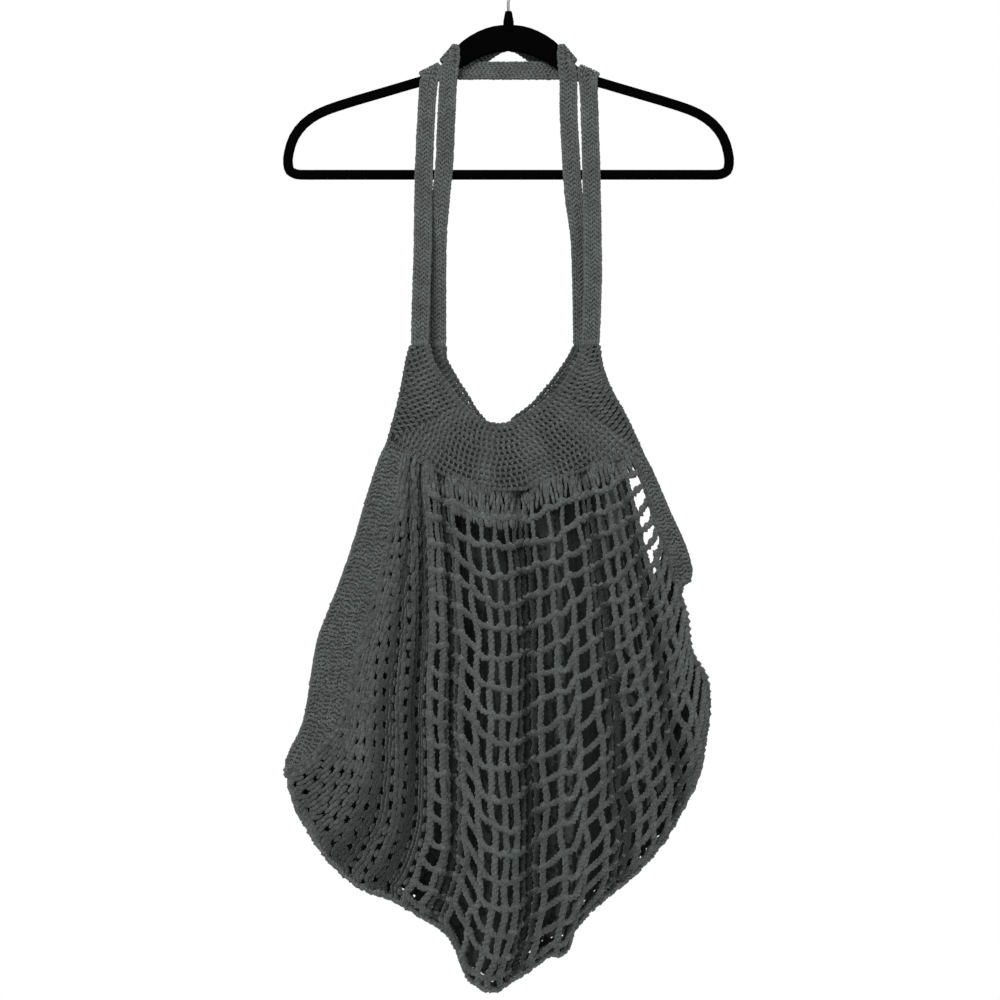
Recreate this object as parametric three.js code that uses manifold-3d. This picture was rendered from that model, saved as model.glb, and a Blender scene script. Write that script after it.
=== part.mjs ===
// A crocheted cotton string shopping bag, hung by its two long handles from a thin flocked coat hanger.
// Millimetres, +Z up, the front towards -Y.
// The origin is the inner top of the hanger's hook, the point that rests on a rail.
import * as THREE from "three";
import { mergeVertices } from "three/addons/utils/BufferGeometryUtils.js";
import Module from "manifold-3d";

const wasm = await Module();
wasm.setup();

// Driving dimensions of the hanger
const HANGER_WIDTH = 445;
const HANGER_FALL = 153; // from the top of the arch to the underside of the trouser bar
const HANGER_THICKNESS = 6;
const HANGER_CHAMFER = 2;
const ARM_BAND = 9.6; // seen from the front, of the arms and the trouser bar
const ARCH_BAND = 26; // seen from the front, at the middle of the arch
const NECK_HEIGHT = 13;
const NECK_SINK = 6.5; // how deep the neck goes into the arch
const NECK_COLLAR = 3.25; // the height of the neck's straight foot above the arch
const NECK_TOP_RADIUS = 3.3;
const NECK_FOOT_RADIUS = 5.2;
const HOOK_INNER_RADIUS = 18;
const HOOK_WIRE_RADIUS = 1.4;
const HOOK_SHANK = 24; // from the lowest point of the hook's round to the top of the neck
const SOCKET_DEPTH = 9;

// Driving dimensions of the bag
const BAG_WIDTH = 414;
const BAG_FALL = 634; // from the feet of the handles to the lowest tip
const HANDLE_FALL = 317; // from the top of the arch to the feet of the handles
const STRAP_WIDTH = 17;
const STRAP_THICKNESS = 4.5;
const YOKE_THICKNESS = 4;
const BAND_THICKNESS = 3.6;
const NET_THICKNESS = 2.6;
const FOOT_HALF_DEPTH = 8; // half the distance from the front sheet to the back sheet at the handles' feet
const YOKE_HALF_DEPTH = 19;
const SLIT_HALF_DEPTH = 16;
const BELLY_HALF_DEPTH = 40;
const HEM_HALF_DEPTH = 7;
const PLEAT_DEPTH = 16;

// Gaps between pieces that touch on the real bag
const REST_GAP = 0.4;
const SEAM_GAP = 0.8;
const BAND_GAP = 0.8;

// Half of the hanger's outer edge, from the arch's top to the middle of the bar, as shares of half
// HANGER_WIDTH and of HANGER_FALL. The arch column is 0 at ARM_BAND and 1 at ARCH_BAND.
const HANGER_EDGE = [
  { across: 0.0, fall: 0.0, arch: 1.0 },
  { across: 0.067, fall: 0.01, arch: 1.0 },
  { across: 0.135, fall: 0.044, arch: 0.95 },
  { across: 0.202, fall: 0.104, arch: 0.8 },
  { across: 0.252, fall: 0.176, arch: 0.62 },
  { across: 0.279, fall: 0.228, arch: 0.38 },
  { across: 0.31, fall: 0.276, arch: 0.15 },
  { across: 0.36, fall: 0.317, arch: 0.03 },
  { across: 0.449, fall: 0.359, arch: 0.0 },
  { across: 0.584, fall: 0.417, arch: 0.0 },
  { across: 0.764, fall: 0.496, arch: 0.0 },
  { across: 0.854, fall: 0.548, arch: 0.0 },
  { across: 0.921, fall: 0.616, arch: 0.0 },
  { across: 0.971, fall: 0.711, arch: 0.0 },
  { across: 0.996, fall: 0.822, arch: 0.0 },
  { across: 1.0, fall: 0.9, arch: 0.0 },
  { across: 0.987, fall: 0.962, arch: 0.0 },
  { across: 0.948, fall: 0.995, arch: 0.0 },
  { across: 0.899, fall: 1.0, arch: 0.0 },
  { across: 0.85, fall: 1.0, arch: 0.0 },
  { across: 0.0, fall: 1.0, arch: 0.0 },
];

// The yokes, rib by rib from the left handle's foot to the right one's. Each rib runs from the neckline
// to the outer edge. Across is a share of BAG_WIDTH from the hook, fall a share of BAG_FALL from the feet.
const FRONT_YOKE = [
  { neckAcross: -0.189, neckFall: 0.0, edgeAcross: -0.231, edgeFall: 0.0 },
  { neckAcross: -0.181, neckFall: 0.025, edgeAcross: -0.24, edgeFall: 0.023 },
  { neckAcross: -0.161, neckFall: 0.048, edgeAcross: -0.251, edgeFall: 0.062 },
  { neckAcross: -0.135, neckFall: 0.071, edgeAcross: -0.265, edgeFall: 0.104 },
  { neckAcross: -0.115, neckFall: 0.089, edgeAcross: -0.284, edgeFall: 0.149 },
  { neckAcross: -0.096, neckFall: 0.102, edgeAcross: -0.199, edgeFall: 0.185 },
  { neckAcross: -0.07, neckFall: 0.116, edgeAcross: -0.127, edgeFall: 0.207 },
  { neckAcross: -0.044, neckFall: 0.123, edgeAcross: -0.073, edgeFall: 0.22 },
  { neckAcross: -0.02, neckFall: 0.125, edgeAcross: -0.02, edgeFall: 0.2245 },
  { neckAcross: 0.008, neckFall: 0.121, edgeAcross: 0.034, edgeFall: 0.222 },
  { neckAcross: 0.037, neckFall: 0.11, edgeAcross: 0.094, edgeFall: 0.211 },
  { neckAcross: 0.067, neckFall: 0.099, edgeAcross: 0.151, edgeFall: 0.199 },
  { neckAcross: 0.096, neckFall: 0.085, edgeAcross: 0.225, edgeFall: 0.183 },
  { neckAcross: 0.12, neckFall: 0.07, edgeAcross: 0.315, edgeFall: 0.166 },
  { neckAcross: 0.142, neckFall: 0.051, edgeAcross: 0.275, edgeFall: 0.11 },
  { neckAcross: 0.161, neckFall: 0.03, edgeAcross: 0.239, edgeFall: 0.067 },
  { neckAcross: 0.17, neckFall: 0.016, edgeAcross: 0.221, edgeFall: 0.033 },
  { neckAcross: 0.176, neckFall: 0.0, edgeAcross: 0.213, edgeFall: 0.0 },
];
const BACK_YOKE = [
  { neckAcross: -0.151, neckFall: 0.0, edgeAcross: -0.189, edgeFall: 0.0 },
  { neckAcross: -0.151, neckFall: 0.019, edgeAcross: -0.208, edgeFall: 0.026 },
  { neckAcross: -0.139, neckFall: 0.036, edgeAcross: -0.23, edgeFall: 0.064 },
  { neckAcross: -0.118, neckFall: 0.059, edgeAcross: -0.256, edgeFall: 0.106 },
  { neckAcross: -0.096, neckFall: 0.081, edgeAcross: -0.284, edgeFall: 0.149 },
  { neckAcross: -0.08, neckFall: 0.099, edgeAcross: -0.199, edgeFall: 0.185 },
  { neckAcross: -0.058, neckFall: 0.116, edgeAcross: -0.127, edgeFall: 0.207 },
  { neckAcross: -0.039, neckFall: 0.127, edgeAcross: -0.073, edgeFall: 0.22 },
  { neckAcross: -0.02, neckFall: 0.13, edgeAcross: -0.02, edgeFall: 0.2245 },
  { neckAcross: -0.001, neckFall: 0.126, edgeAcross: 0.034, edgeFall: 0.222 },
  { neckAcross: 0.015, neckFall: 0.112, edgeAcross: 0.094, edgeFall: 0.211 },
  { neckAcross: 0.037, neckFall: 0.102, edgeAcross: 0.151, edgeFall: 0.199 },
  { neckAcross: 0.061, neckFall: 0.089, edgeAcross: 0.225, edgeFall: 0.183 },
  { neckAcross: 0.089, neckFall: 0.068, edgeAcross: 0.315, edgeFall: 0.166 },
  { neckAcross: 0.115, neckFall: 0.047, edgeAcross: 0.27, edgeFall: 0.112 },
  { neckAcross: 0.137, neckFall: 0.026, edgeAcross: 0.232, edgeFall: 0.07 },
  { neckAcross: 0.151, neckFall: 0.011, edgeAcross: 0.203, edgeFall: 0.036 },
  { neckAcross: 0.157, neckFall: 0.0, edgeAcross: 0.195, edgeFall: 0.0 },
];
const LEFT_CORNER_RIB = 4;
const RIGHT_CORNER_RIB = 13;

// The bands along the side slits, from the yoke's corner down to the foot of the slit. Each row runs
// from the slit's own edge to the edge that the net joins.
const LEFT_BAND = [
  { slitAcross: -0.284, slitFall: 0.149, netAcross: -0.246, netFall: 0.165 },
  { slitAcross: -0.308, slitFall: 0.185, netAcross: -0.256, netFall: 0.2 },
  { slitAcross: -0.337, slitFall: 0.244, netAcross: -0.268, netFall: 0.259 },
  { slitAcross: -0.363, slitFall: 0.303, netAcross: -0.287, netFall: 0.315 },
  { slitAcross: -0.401, slitFall: 0.374, netAcross: -0.315, netFall: 0.384 },
  { slitAcross: -0.446, slitFall: 0.449, netAcross: -0.353, netFall: 0.455 },
  { slitAcross: -0.462, slitFall: 0.5, netAcross: -0.37, netFall: 0.508 },
  { slitAcross: -0.477, slitFall: 0.562, netAcross: -0.387, netFall: 0.561 },
  { slitAcross: -0.491, slitFall: 0.595, netAcross: -0.41, netFall: 0.598 },
  { slitAcross: -0.515, slitFall: 0.626, netAcross: -0.453, netFall: 0.629 },
  { slitAcross: -0.525, slitFall: 0.644, netAcross: -0.494, netFall: 0.651 },
];
const RIGHT_BAND = [
  { slitAcross: 0.315, slitFall: 0.166, netAcross: 0.294, netFall: 0.17 },
  { slitAcross: 0.341, slitFall: 0.2, netAcross: 0.315, netFall: 0.207 },
  { slitAcross: 0.363, slitFall: 0.233, netAcross: 0.332, netFall: 0.241 },
  { slitAcross: 0.387, slitFall: 0.269, netAcross: 0.349, netFall: 0.276 },
  { slitAcross: 0.41, slitFall: 0.301, netAcross: 0.368, netFall: 0.311 },
  { slitAcross: 0.425, slitFall: 0.328, netAcross: 0.379, netFall: 0.339 },
  { slitAcross: 0.433, slitFall: 0.351, netAcross: 0.391, netFall: 0.362 },
  { slitAcross: 0.429, slitFall: 0.365, netAcross: 0.401, netFall: 0.373 },
];

// The net's free outline: its sides below the slits, and the lower fold line from left to right
const LEFT_SIDE = [
  { across: -0.52, fall: 0.657 },
  { across: -0.522, fall: 0.675 },
];
const RIGHT_SIDE = [
  { across: 0.402, fall: 0.376 },
  { across: 0.406, fall: 0.393 },
  { across: 0.42, fall: 0.416 },
  { across: 0.425, fall: 0.446 },
  { across: 0.432, fall: 0.477 },
  { across: 0.463, fall: 0.511 },
  { across: 0.472, fall: 0.543 },
  { across: 0.472, fall: 0.578 },
];
const LOWER_FOLD = [
  { across: -0.522, fall: 0.675 },
  { across: -0.501, fall: 0.719 },
  { across: -0.456, fall: 0.77 },
  { across: -0.418, fall: 0.803 },
  { across: -0.349, fall: 0.84 },
  { across: -0.272, fall: 0.859 },
  { across: -0.199, fall: 0.887 },
  { across: -0.144, fall: 0.911 },
  { across: -0.12, fall: 0.939 },
  { across: -0.092, fall: 0.981 },
  { across: -0.039, fall: 1.0 },
  { across: 0.008, fall: 0.984 },
  { across: 0.056, fall: 0.964 },
  { across: 0.089, fall: 0.947 },
  { across: 0.134, fall: 0.939 },
  { across: 0.158, fall: 0.902 },
  { across: 0.215, fall: 0.863 },
  { across: 0.287, fall: 0.825 },
  { across: 0.358, fall: 0.775 },
  { across: 0.406, fall: 0.724 },
  { across: 0.446, fall: 0.671 },
  { across: 0.46, fall: 0.629 },
  { across: 0.472, fall: 0.578 },
];

// The pleats of the net, a row for each ridge or valley line from left to right: its place along the
// yoke's edge, its place along the lower fold and its depth as a share of PLEAT_DEPTH.
const FRONT_PLEATS = [
  { top: 0.0, foot: 0.0, depth: 0.35 },
  { top: 0.013, foot: 0.062, depth: 0.0 },
  { top: 0.031, foot: 0.122, depth: 0.5 },
  { top: 0.048, foot: 0.175, depth: 0.1 },
  { top: 0.07, foot: 0.237, depth: 0.75 },
  { top: 0.097, foot: 0.285, depth: 0.05 },
  { top: 0.145, foot: 0.352, depth: 0.05 },
  { top: 0.185, foot: 0.378, depth: 0.9 },
  { top: 0.229, foot: 0.404, depth: 0.1 },
  { top: 0.348, foot: 0.467, depth: 0.0 },
  { top: 0.467, foot: 0.529, depth: 0.1 },
  { top: 0.511, foot: 0.555, depth: 1.0 },
  { top: 0.555, foot: 0.584, depth: 0.1 },
  { top: 0.648, foot: 0.663, depth: 0.0 },
  { top: 0.736, foot: 0.744, depth: 0.1 },
  { top: 0.775, foot: 0.787, depth: 0.6 },
  { top: 0.833, foot: 0.84, depth: 0.05 },
  { top: 0.885, foot: 0.897, depth: 0.1 },
  { top: 0.921, foot: 0.935, depth: 0.55 },
  { top: 0.965, foot: 0.974, depth: 0.1 },
  { top: 1.0, foot: 1.0, depth: 0.35 },
];
const BACK_PLEATS = [
  { top: 0.0, foot: 0.0, depth: 0.35 },
  { top: 0.057, foot: 0.098, depth: 0.0 },
  { top: 0.119, foot: 0.199, depth: 0.6 },
  { top: 0.22, foot: 0.294, depth: 0.05 },
  { top: 0.295, foot: 0.371, depth: 0.7 },
  { top: 0.401, foot: 0.457, depth: 0.0 },
  { top: 0.498, foot: 0.533, depth: 0.8 },
  { top: 0.599, foot: 0.62, depth: 0.05 },
  { top: 0.683, foot: 0.706, depth: 0.7 },
  { top: 0.789, foot: 0.797, depth: 0.0 },
  { top: 0.877, foot: 0.888, depth: 0.6 },
  { top: 0.947, foot: 0.955, depth: 0.05 },
  { top: 1.0, foot: 1.0, depth: 0.35 },
];

// The open columns of the net, each from one place to another in the list of pleat lines, and its open
// rows, each from one share of the net's height to another. The strands lie between them.
const FRONT_OPEN_COLUMNS = [
  { from: 2.6, to: 3.5 },
  { from: 5.08, to: 5.48 },
  { from: 5.6, to: 6.05 },
  { from: 8.1, to: 8.6 },
  { from: 8.78, to: 9.25 },
  { from: 9.42, to: 9.92 },
  { from: 12.1, to: 12.6 },
  { from: 12.76, to: 13.26 },
  { from: 13.42, to: 13.92 },
  { from: 15.8, to: 16.3 },
  { from: 16.6, to: 17.2 },
  { from: 18.8, to: 19.7 },
];
const BACK_OPEN_COLUMNS = [
  { from: 0.6, to: 1.3 },
  { from: 2.7, to: 3.3 },
  { from: 4.6, to: 4.95 },
  { from: 5.1, to: 5.45 },
  { from: 6.7, to: 7.3 },
  { from: 8.65, to: 9.3 },
  { from: 10.7, to: 11.3 },
];
const OPEN_ROWS = [
  { from: 0.05, to: 0.16 },
  { from: 0.2, to: 0.31 },
  { from: 0.35, to: 0.46 },
  { from: 0.5, to: 0.61 },
  { from: 0.65, to: 0.76 },
  { from: 0.8, to: 0.91 },
];
const LEFT_SLIT_FOOT = 0.96; // the share of the net's height at which the side is closed
const RIGHT_SLIT_FOOT = 0.5;

// The handles. Each leg has rows from the foot to below the hanger: across is a share of BAG_WIDTH
// from the hook, rise a share of the leg's height. Upright is the rise at which the leg has come to the
// hanger's face. The wrap columns give the stretch of the hanger's edge that the strap lies over, as
// shares of half HANGER_WIDTH. The crossing behind the arch is a share of HANGER_FALL down, and its
// middle is higher by its rise.
const FRONT_HANDLE = {
  upright: 1.0,
  crossingFall: 0.29,
  crossingRise: 0.0,
  left: {
    leg: [
      { across: -0.21, rise: 0.0 },
      { across: -0.207, rise: 0.2 },
      { across: -0.204, rise: 0.34 },
      { across: -0.201, rise: 0.65 },
      { across: -0.192, rise: 0.93 },
    ],
    wrapOuter: 0.395,
    wrapInner: 0.3,
  },
  right: {
    leg: [
      { across: 0.1945, rise: 0.0 },
      { across: 0.1995, rise: 0.2 },
      { across: 0.2, rise: 0.34 },
      { across: 0.1965, rise: 0.65 },
      { across: 0.191, rise: 0.93 },
    ],
    wrapOuter: 0.393,
    wrapInner: 0.317,
  },
};
const BACK_HANDLE = {
  upright: 0.58,
  crossingFall: 0.2,
  crossingRise: 0.1,
  left: {
    leg: [
      { across: -0.17, rise: 0.0 },
      { across: -0.169, rise: 0.34 },
      { across: -0.161, rise: 0.5 },
      { across: -0.1525, rise: 0.63 },
      { across: -0.149, rise: 0.75 },
      { across: -0.1425, rise: 0.93 },
    ],
    wrapOuter: 0.3,
    wrapInner: 0.222,
  },
  right: {
    leg: [
      { across: 0.176, rise: 0.0 },
      { across: 0.17, rise: 0.34 },
      { across: 0.156, rise: 0.5 },
      { across: 0.149, rise: 0.63 },
      { across: 0.143, rise: 0.8 },
      { across: 0.142, rise: 0.93 },
    ],
    wrapOuter: 0.298,
    wrapInner: 0.224,
  },
};
const WRAP_WIDENING = 1.25; // a strap lies aslant over the hanger, so it covers more of the edge
const TURN_LENGTH = 1.3; // that a strap takes to turn behind the arch, a share of its width

// Colours of the finishes
const YARN = { color: 0x5c605c, roughness: 0.95, metalness: 0.0 };
const YARN_SHADE = { color: 0x50545a, roughness: 0.95, metalness: 0.0 };
const FLOCK = { color: 0x050505, roughness: 1.0, metalness: 0.0 };
const WIRE = { color: 0xb8bcc0, roughness: 0.25, metalness: 1.0 };

// Heights and depths that follow from the sizes above
const ARCH_TOP = -(HOOK_INNER_RADIUS * 2 + HOOK_WIRE_RADIUS + HOOK_SHANK + NECK_HEIGHT);
const NECK_TOP = ARCH_TOP + NECK_HEIGHT;
const FEET_LEVEL = ARCH_TOP - HANDLE_FALL;
const STRAP_RADIUS = HANGER_THICKNESS / 2 + REST_GAP + STRAP_THICKNESS / 2;
const MID_DEPTH = -STRAP_RADIUS; // the bag hangs under the straps, in front of the hanger

const lerp = THREE.MathUtils.lerp;
const smooth = (share) => share * share * (3 - 2 * share);
const place = (across, fall) => new THREE.Vector2(across * BAG_WIDTH, FEET_LEVEL - fall * BAG_FALL);

// A closed body from points and triangles, turned so that its faces point out
function closedBody(points, triangles) {
  let volume = 0;
  const cross = new THREE.Vector3();
  for (const [a, b, c] of triangles) {
    volume += points[a].dot(cross.crossVectors(points[b], points[c]));
  }
  const index = [];
  for (const [a, b, c] of triangles) {
    if (volume > 0) {
      index.push(a, b, c);
    } else {
      index.push(a, c, b);
    }
  }
  const geometry = new THREE.BufferGeometry();
  geometry.setAttribute("position", new THREE.Float32BufferAttribute(points.flatMap((p) => p.toArray()), 3));
  geometry.setIndex(index);
  return geometry;
}

// A body lofted through rings of points, joined end to end or closed by a flat cap at each end
function loftedBody(rings, joined = false) {
  const size = rings[0].length;
  const total = rings.length * size;
  const triangles = [];
  for (let row = 0; row < (joined ? rings.length : rings.length - 1); row += 1) {
    for (let k = 0; k < size; k += 1) {
      const a = row * size + k;
      const b = row * size + ((k + 1) % size);
      const [c, d] = [(b + size) % total, (a + size) % total];
      triangles.push([a, b, c], [a, c, d]);
    }
  }
  const last = total - size;
  for (let k = 1; !joined && k < size - 1; k += 1) {
    triangles.push([0, k + 1, k], [last, last + k, last + k + 1]);
  }
  return closedBody(rings.flat(), triangles);
}

// A curved sheet of flat faces that becomes a body when it is given a thickness
class Sheet {
  constructor() {
    this.points = [];
    this.faces = [];
  }

  point(x, y, z) {
    this.points.push(new THREE.Vector3(x, y, z));
    return this.points.length - 1;
  }

  normals() {
    const normals = this.points.map(() => new THREE.Vector3());
    const first = new THREE.Vector3();
    const second = new THREE.Vector3();
    for (const face of this.faces) {
      const corners = face.map((k) => this.points[k]);
      first.subVectors(corners[2], corners[0]);
      second.subVectors(corners[corners.length - 1], corners[1]);
      first.cross(second);
      face.forEach((k) => normals[k].add(first));
    }
    normals.forEach((normal) => normal.normalize());
    return normals;
  }

  body(thickness) {
    const count = this.points.length;
    const normals = this.normals();
    const half = thickness / 2;
    const shifted = (side) => {
      const offset = side * half;
      return this.points.map((point, k) => point.clone().addScaledVector(normals[k], offset));
    };
    const triangles = [];
    const edges = new Set();
    for (const face of this.faces) {
      for (let k = 2; k < face.length; k += 1) {
        triangles.push([face[0], face[k - 1], face[k]]);
        triangles.push([face[0] + count, face[k] + count, face[k - 1] + count]);
      }
      face.forEach((from, k) => edges.add(`${from} ${face[(k + 1) % face.length]}`));
    }
    for (const edge of edges) {
      const [from, to] = edge.split(" ").map(Number);
      if (!edges.has(`${to} ${from}`)) {
        triangles.push([to, from, from + count], [to, from + count, to + count]);
      }
    }
    return closedBody([...shifted(1), ...shifted(-1)], triangles);
  }
}

// Points along a smooth curve through the rows of a table
function curveThrough(points, samples) {
  return new THREE.SplineCurve(points).getPoints(samples);
}

// The height of a curve of points at one place across
function heightAt(points, across) {
  for (let k = 1; k < points.length; k += 1) {
    if (points[k].x >= across || k === points.length - 1) {
      const span = points[k].x - points[k - 1].x;
      const share = span > 0 ? (across - points[k - 1].x) / span : 0;
      return lerp(points[k - 1].y, points[k].y, THREE.MathUtils.clamp(share, 0, 1));
    }
  }
  return points[0].y;
}

// The point at a share of the length of a curve of points
function pointAlong(points, share) {
  const lengths = [0];
  for (let k = 1; k < points.length; k += 1) {
    lengths.push(lengths[k - 1] + points[k].distanceTo(points[k - 1]));
  }
  const wanted = share * lengths[lengths.length - 1];
  let k = 1;
  while (k < points.length - 1 && lengths[k] < wanted) {
    k += 1;
  }
  const part = (wanted - lengths[k - 1]) / (lengths[k] - lengths[k - 1]);
  return points[k - 1].clone().lerp(points[k], THREE.MathUtils.clamp(part, 0, 1));
}

// The hanger's frame: a flat band with chamfered edges, and a tapered neck with the hook's socket
const EDGE_STEPS = 2;

function hangerHalf() {
  const halfWidth = HANGER_WIDTH / 2;
  const points = HANGER_EDGE
    .map((row) => new THREE.Vector3(row.across * halfWidth, -row.fall * HANGER_FALL, 0));
  const curve = new THREE.CatmullRomCurve3(points, false, "centripetal");
  const outer = [];
  const inner = [];
  const spans = points.length - 1;
  const stations = [];
  for (let span = 0; span < spans; span += 1) {
    for (let step = 0; step < (span < spans - 1 ? EDGE_STEPS : 1); step += 1) {
      stations.push(span + step / EDGE_STEPS);
    }
  }
  stations.push(spans);
  for (const station of stations) {
    const along = station / spans;
    const span = Math.min(Math.floor(station), spans - 1);
    const arch = lerp(HANGER_EDGE[span].arch, HANGER_EDGE[span + 1].arch, station - span);
    const band = lerp(ARM_BAND, ARCH_BAND, arch);
    const point = curve.getPoint(along);
    const tangent = curve.getTangent(along);
    if (station === 0 || station === spans) {
      tangent.set(Math.sign(tangent.x), 0, 0);
    }
    outer.push(new THREE.Vector2(point.x, point.y));
    inner.push(new THREE.Vector2(point.x + tangent.y * band, point.y - tangent.x * band));
  }
  inner[0].x = 0;
  inner[inner.length - 1].x = 0;
  return { outer, inner };
}

// The chamfered section of the band between a point of the outer edge and one of the inner edge
function bandRing(outer, inner) {
  const inward = inner.clone().sub(outer).normalize();
  const width = outer.distanceTo(inner);
  const half = HANGER_THICKNESS / 2;
  const corners = [
    { in: 0, deep: HANGER_CHAMFER - half },
    { in: HANGER_CHAMFER, deep: -half },
    { in: width - HANGER_CHAMFER, deep: -half },
    { in: width, deep: HANGER_CHAMFER - half },
    { in: width, deep: half - HANGER_CHAMFER },
    { in: width - HANGER_CHAMFER, deep: half },
    { in: HANGER_CHAMFER, deep: half },
    { in: 0, deep: half - HANGER_CHAMFER },
  ];
  return corners.map((corner) => {
    const point = outer.clone().addScaledVector(inward, corner.in);
    return new THREE.Vector3(point.x, corner.deep, ARCH_TOP + point.y);
  });
}

function hangerBand() {
  const { outer, inner } = hangerHalf();
  const rightHalf = outer.map((point, k) => bandRing(point, inner[k]));
  const leftHalf = rightHalf.slice(1, -1).reverse()
    .map((ring) => ring.map((point) => new THREE.Vector3(-point.x, point.y, point.z)));
  return loftedBody([...rightHalf, ...leftHalf], true);
}

function toManifold(geometry) {
  geometry.deleteAttribute("normal");
  geometry.deleteAttribute("uv");
  const merged = mergeVertices(geometry, 0.001);
  const vertProperties = new Float32Array(merged.attributes.position.array);
  const corners = Array.from(merged.index.array);
  const triangles = [];
  for (let k = 0; k < corners.length; k += 3) {
    const [a, b, c] = corners.slice(k, k + 3);
    if (a !== b && b !== c && c !== a) {
      triangles.push(a, b, c);
    }
  }
  const triVerts = new Uint32Array(triangles);
  return new wasm.Manifold(new wasm.Mesh({ numProp: 3, vertProperties, triVerts }));
}

function fromManifold(solid) {
  const mesh = solid.getMesh();
  const geometry = new THREE.BufferGeometry();
  geometry.setAttribute("position", new THREE.Float32BufferAttribute(mesh.vertProperties, 3));
  geometry.setIndex(Array.from(mesh.triVerts));
  return geometry;
}

// A round body about the vertical axis through the hook, from a profile of radius and height
function turned(profile, sides) {
  const outline = profile.map(([radius, height]) => new THREE.Vector2(radius, height));
  const geometry = new THREE.LatheGeometry(outline, sides);
  geometry.rotateX(Math.PI / 2);
  return geometry;
}

function hangerFrame() {
  const neckFoot = ARCH_TOP - NECK_SINK;
  const neck = turned([
    [0, neckFoot],
    [NECK_FOOT_RADIUS, neckFoot],
    [NECK_FOOT_RADIUS, ARCH_TOP + NECK_COLLAR],
    [NECK_TOP_RADIUS, NECK_TOP],
    [0, NECK_TOP],
  ], 16);
  const socketRadius = HOOK_WIRE_RADIUS + REST_GAP;
  const socket = turned([
    [0, NECK_TOP - SOCKET_DEPTH],
    [socketRadius, NECK_TOP - SOCKET_DEPTH],
    [socketRadius, NECK_TOP + SOCKET_DEPTH],
    [0, NECK_TOP + SOCKET_DEPTH],
  ], 12);
  return fromManifold(toManifold(hangerBand()).add(toManifold(neck)).subtract(toManifold(socket)));
}

// The hook: a shank in the socket that bends out and over in one round
const HOOK_SIDES = 8;
const HOOK_STEPS = 44;
const HOOK_BEND = { start: 0.45, end: 0.85, across: 0.2 }; // shares of HOOK_SHANK and of the radius
const HOOK_ROUND = { from: -50, to: 205, step: 15 }; // degrees

function hangerHook() {
  const radius = HOOK_INNER_RADIUS + HOOK_WIRE_RADIUS;
  const centre = -HOOK_INNER_RADIUS;
  const foot = NECK_TOP - SOCKET_DEPTH + REST_GAP;
  const points = [
    new THREE.Vector3(0, 0, foot),
    new THREE.Vector3(0, 0, NECK_TOP),
    new THREE.Vector3(0, 0, NECK_TOP + HOOK_SHANK * HOOK_BEND.start),
    new THREE.Vector3(radius * HOOK_BEND.across, 0, NECK_TOP + HOOK_SHANK * HOOK_BEND.end),
  ];
  for (let degrees = HOOK_ROUND.from; degrees <= HOOK_ROUND.to; degrees += HOOK_ROUND.step) {
    const angle = THREE.MathUtils.degToRad(degrees);
    points.push(new THREE.Vector3(radius * Math.cos(angle), 0, centre + radius * Math.sin(angle)));
  }
  const path = new THREE.CatmullRomCurve3(points);
  const section = new THREE.Shape(Array.from({ length: HOOK_SIDES }, (unused, k) => {
    const angle = (k / HOOK_SIDES) * Math.PI * 2;
    return new THREE.Vector2(HOOK_WIRE_RADIUS * Math.cos(angle), HOOK_WIRE_RADIUS * Math.sin(angle));
  }));
  return new THREE.ExtrudeGeometry(section, { steps: HOOK_STEPS, extrudePath: path });
}

// The handles: flat straps that rise from the yoke, lie over the hanger and cross behind its arch
const STRAP_SECTION = [
  { wide: -0.5, thick: -0.2 },
  { wide: -0.4, thick: -0.5 },
  { wide: 0.4, thick: -0.5 },
  { wide: 0.5, thick: -0.2 },
  { wide: 0.5, thick: 0.2 },
  { wide: 0.4, thick: 0.5 },
  { wide: -0.4, thick: 0.5 },
  { wide: -0.5, thick: 0.2 },
];
const LIFT_STEPS = 10;
const WRAP_STEPS = 3;
const TURN_STEPS = 4;
const CROSSING_STEPS = 8;

function strapRing(centre, across, outward, width) {
  return STRAP_SECTION.map((corner) => centre.clone()
    .addScaledVector(across, corner.wide * width)
    .addScaledVector(outward, corner.thick * STRAP_THICKNESS));
}

// The straight line that a strap rests on where it lies over the hanger's upper edge
function wrapLine(edge, outerShare, innerShare) {
  const outerX = (outerShare * HANGER_WIDTH) / 2;
  const innerX = (innerShare * HANGER_WIDTH) / 2;
  const outerZ = heightAt(edge, outerX);
  const innerZ = heightAt(edge, innerX);
  let lift = 0;
  for (let step = 0; step <= LIFT_STEPS; step += 1) {
    const share = step / LIFT_STEPS;
    lift = Math.max(lift, heightAt(edge, lerp(outerX, innerX, share)) - lerp(outerZ, innerZ, share));
  }
  const slope = Math.atan2(innerZ - outerZ, outerX - innerX);
  const middle = (outerX + innerX) / 2;
  return { x: middle, z: (outerZ + innerZ) / 2 + lift + ARCH_TOP, slope };
}

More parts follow.
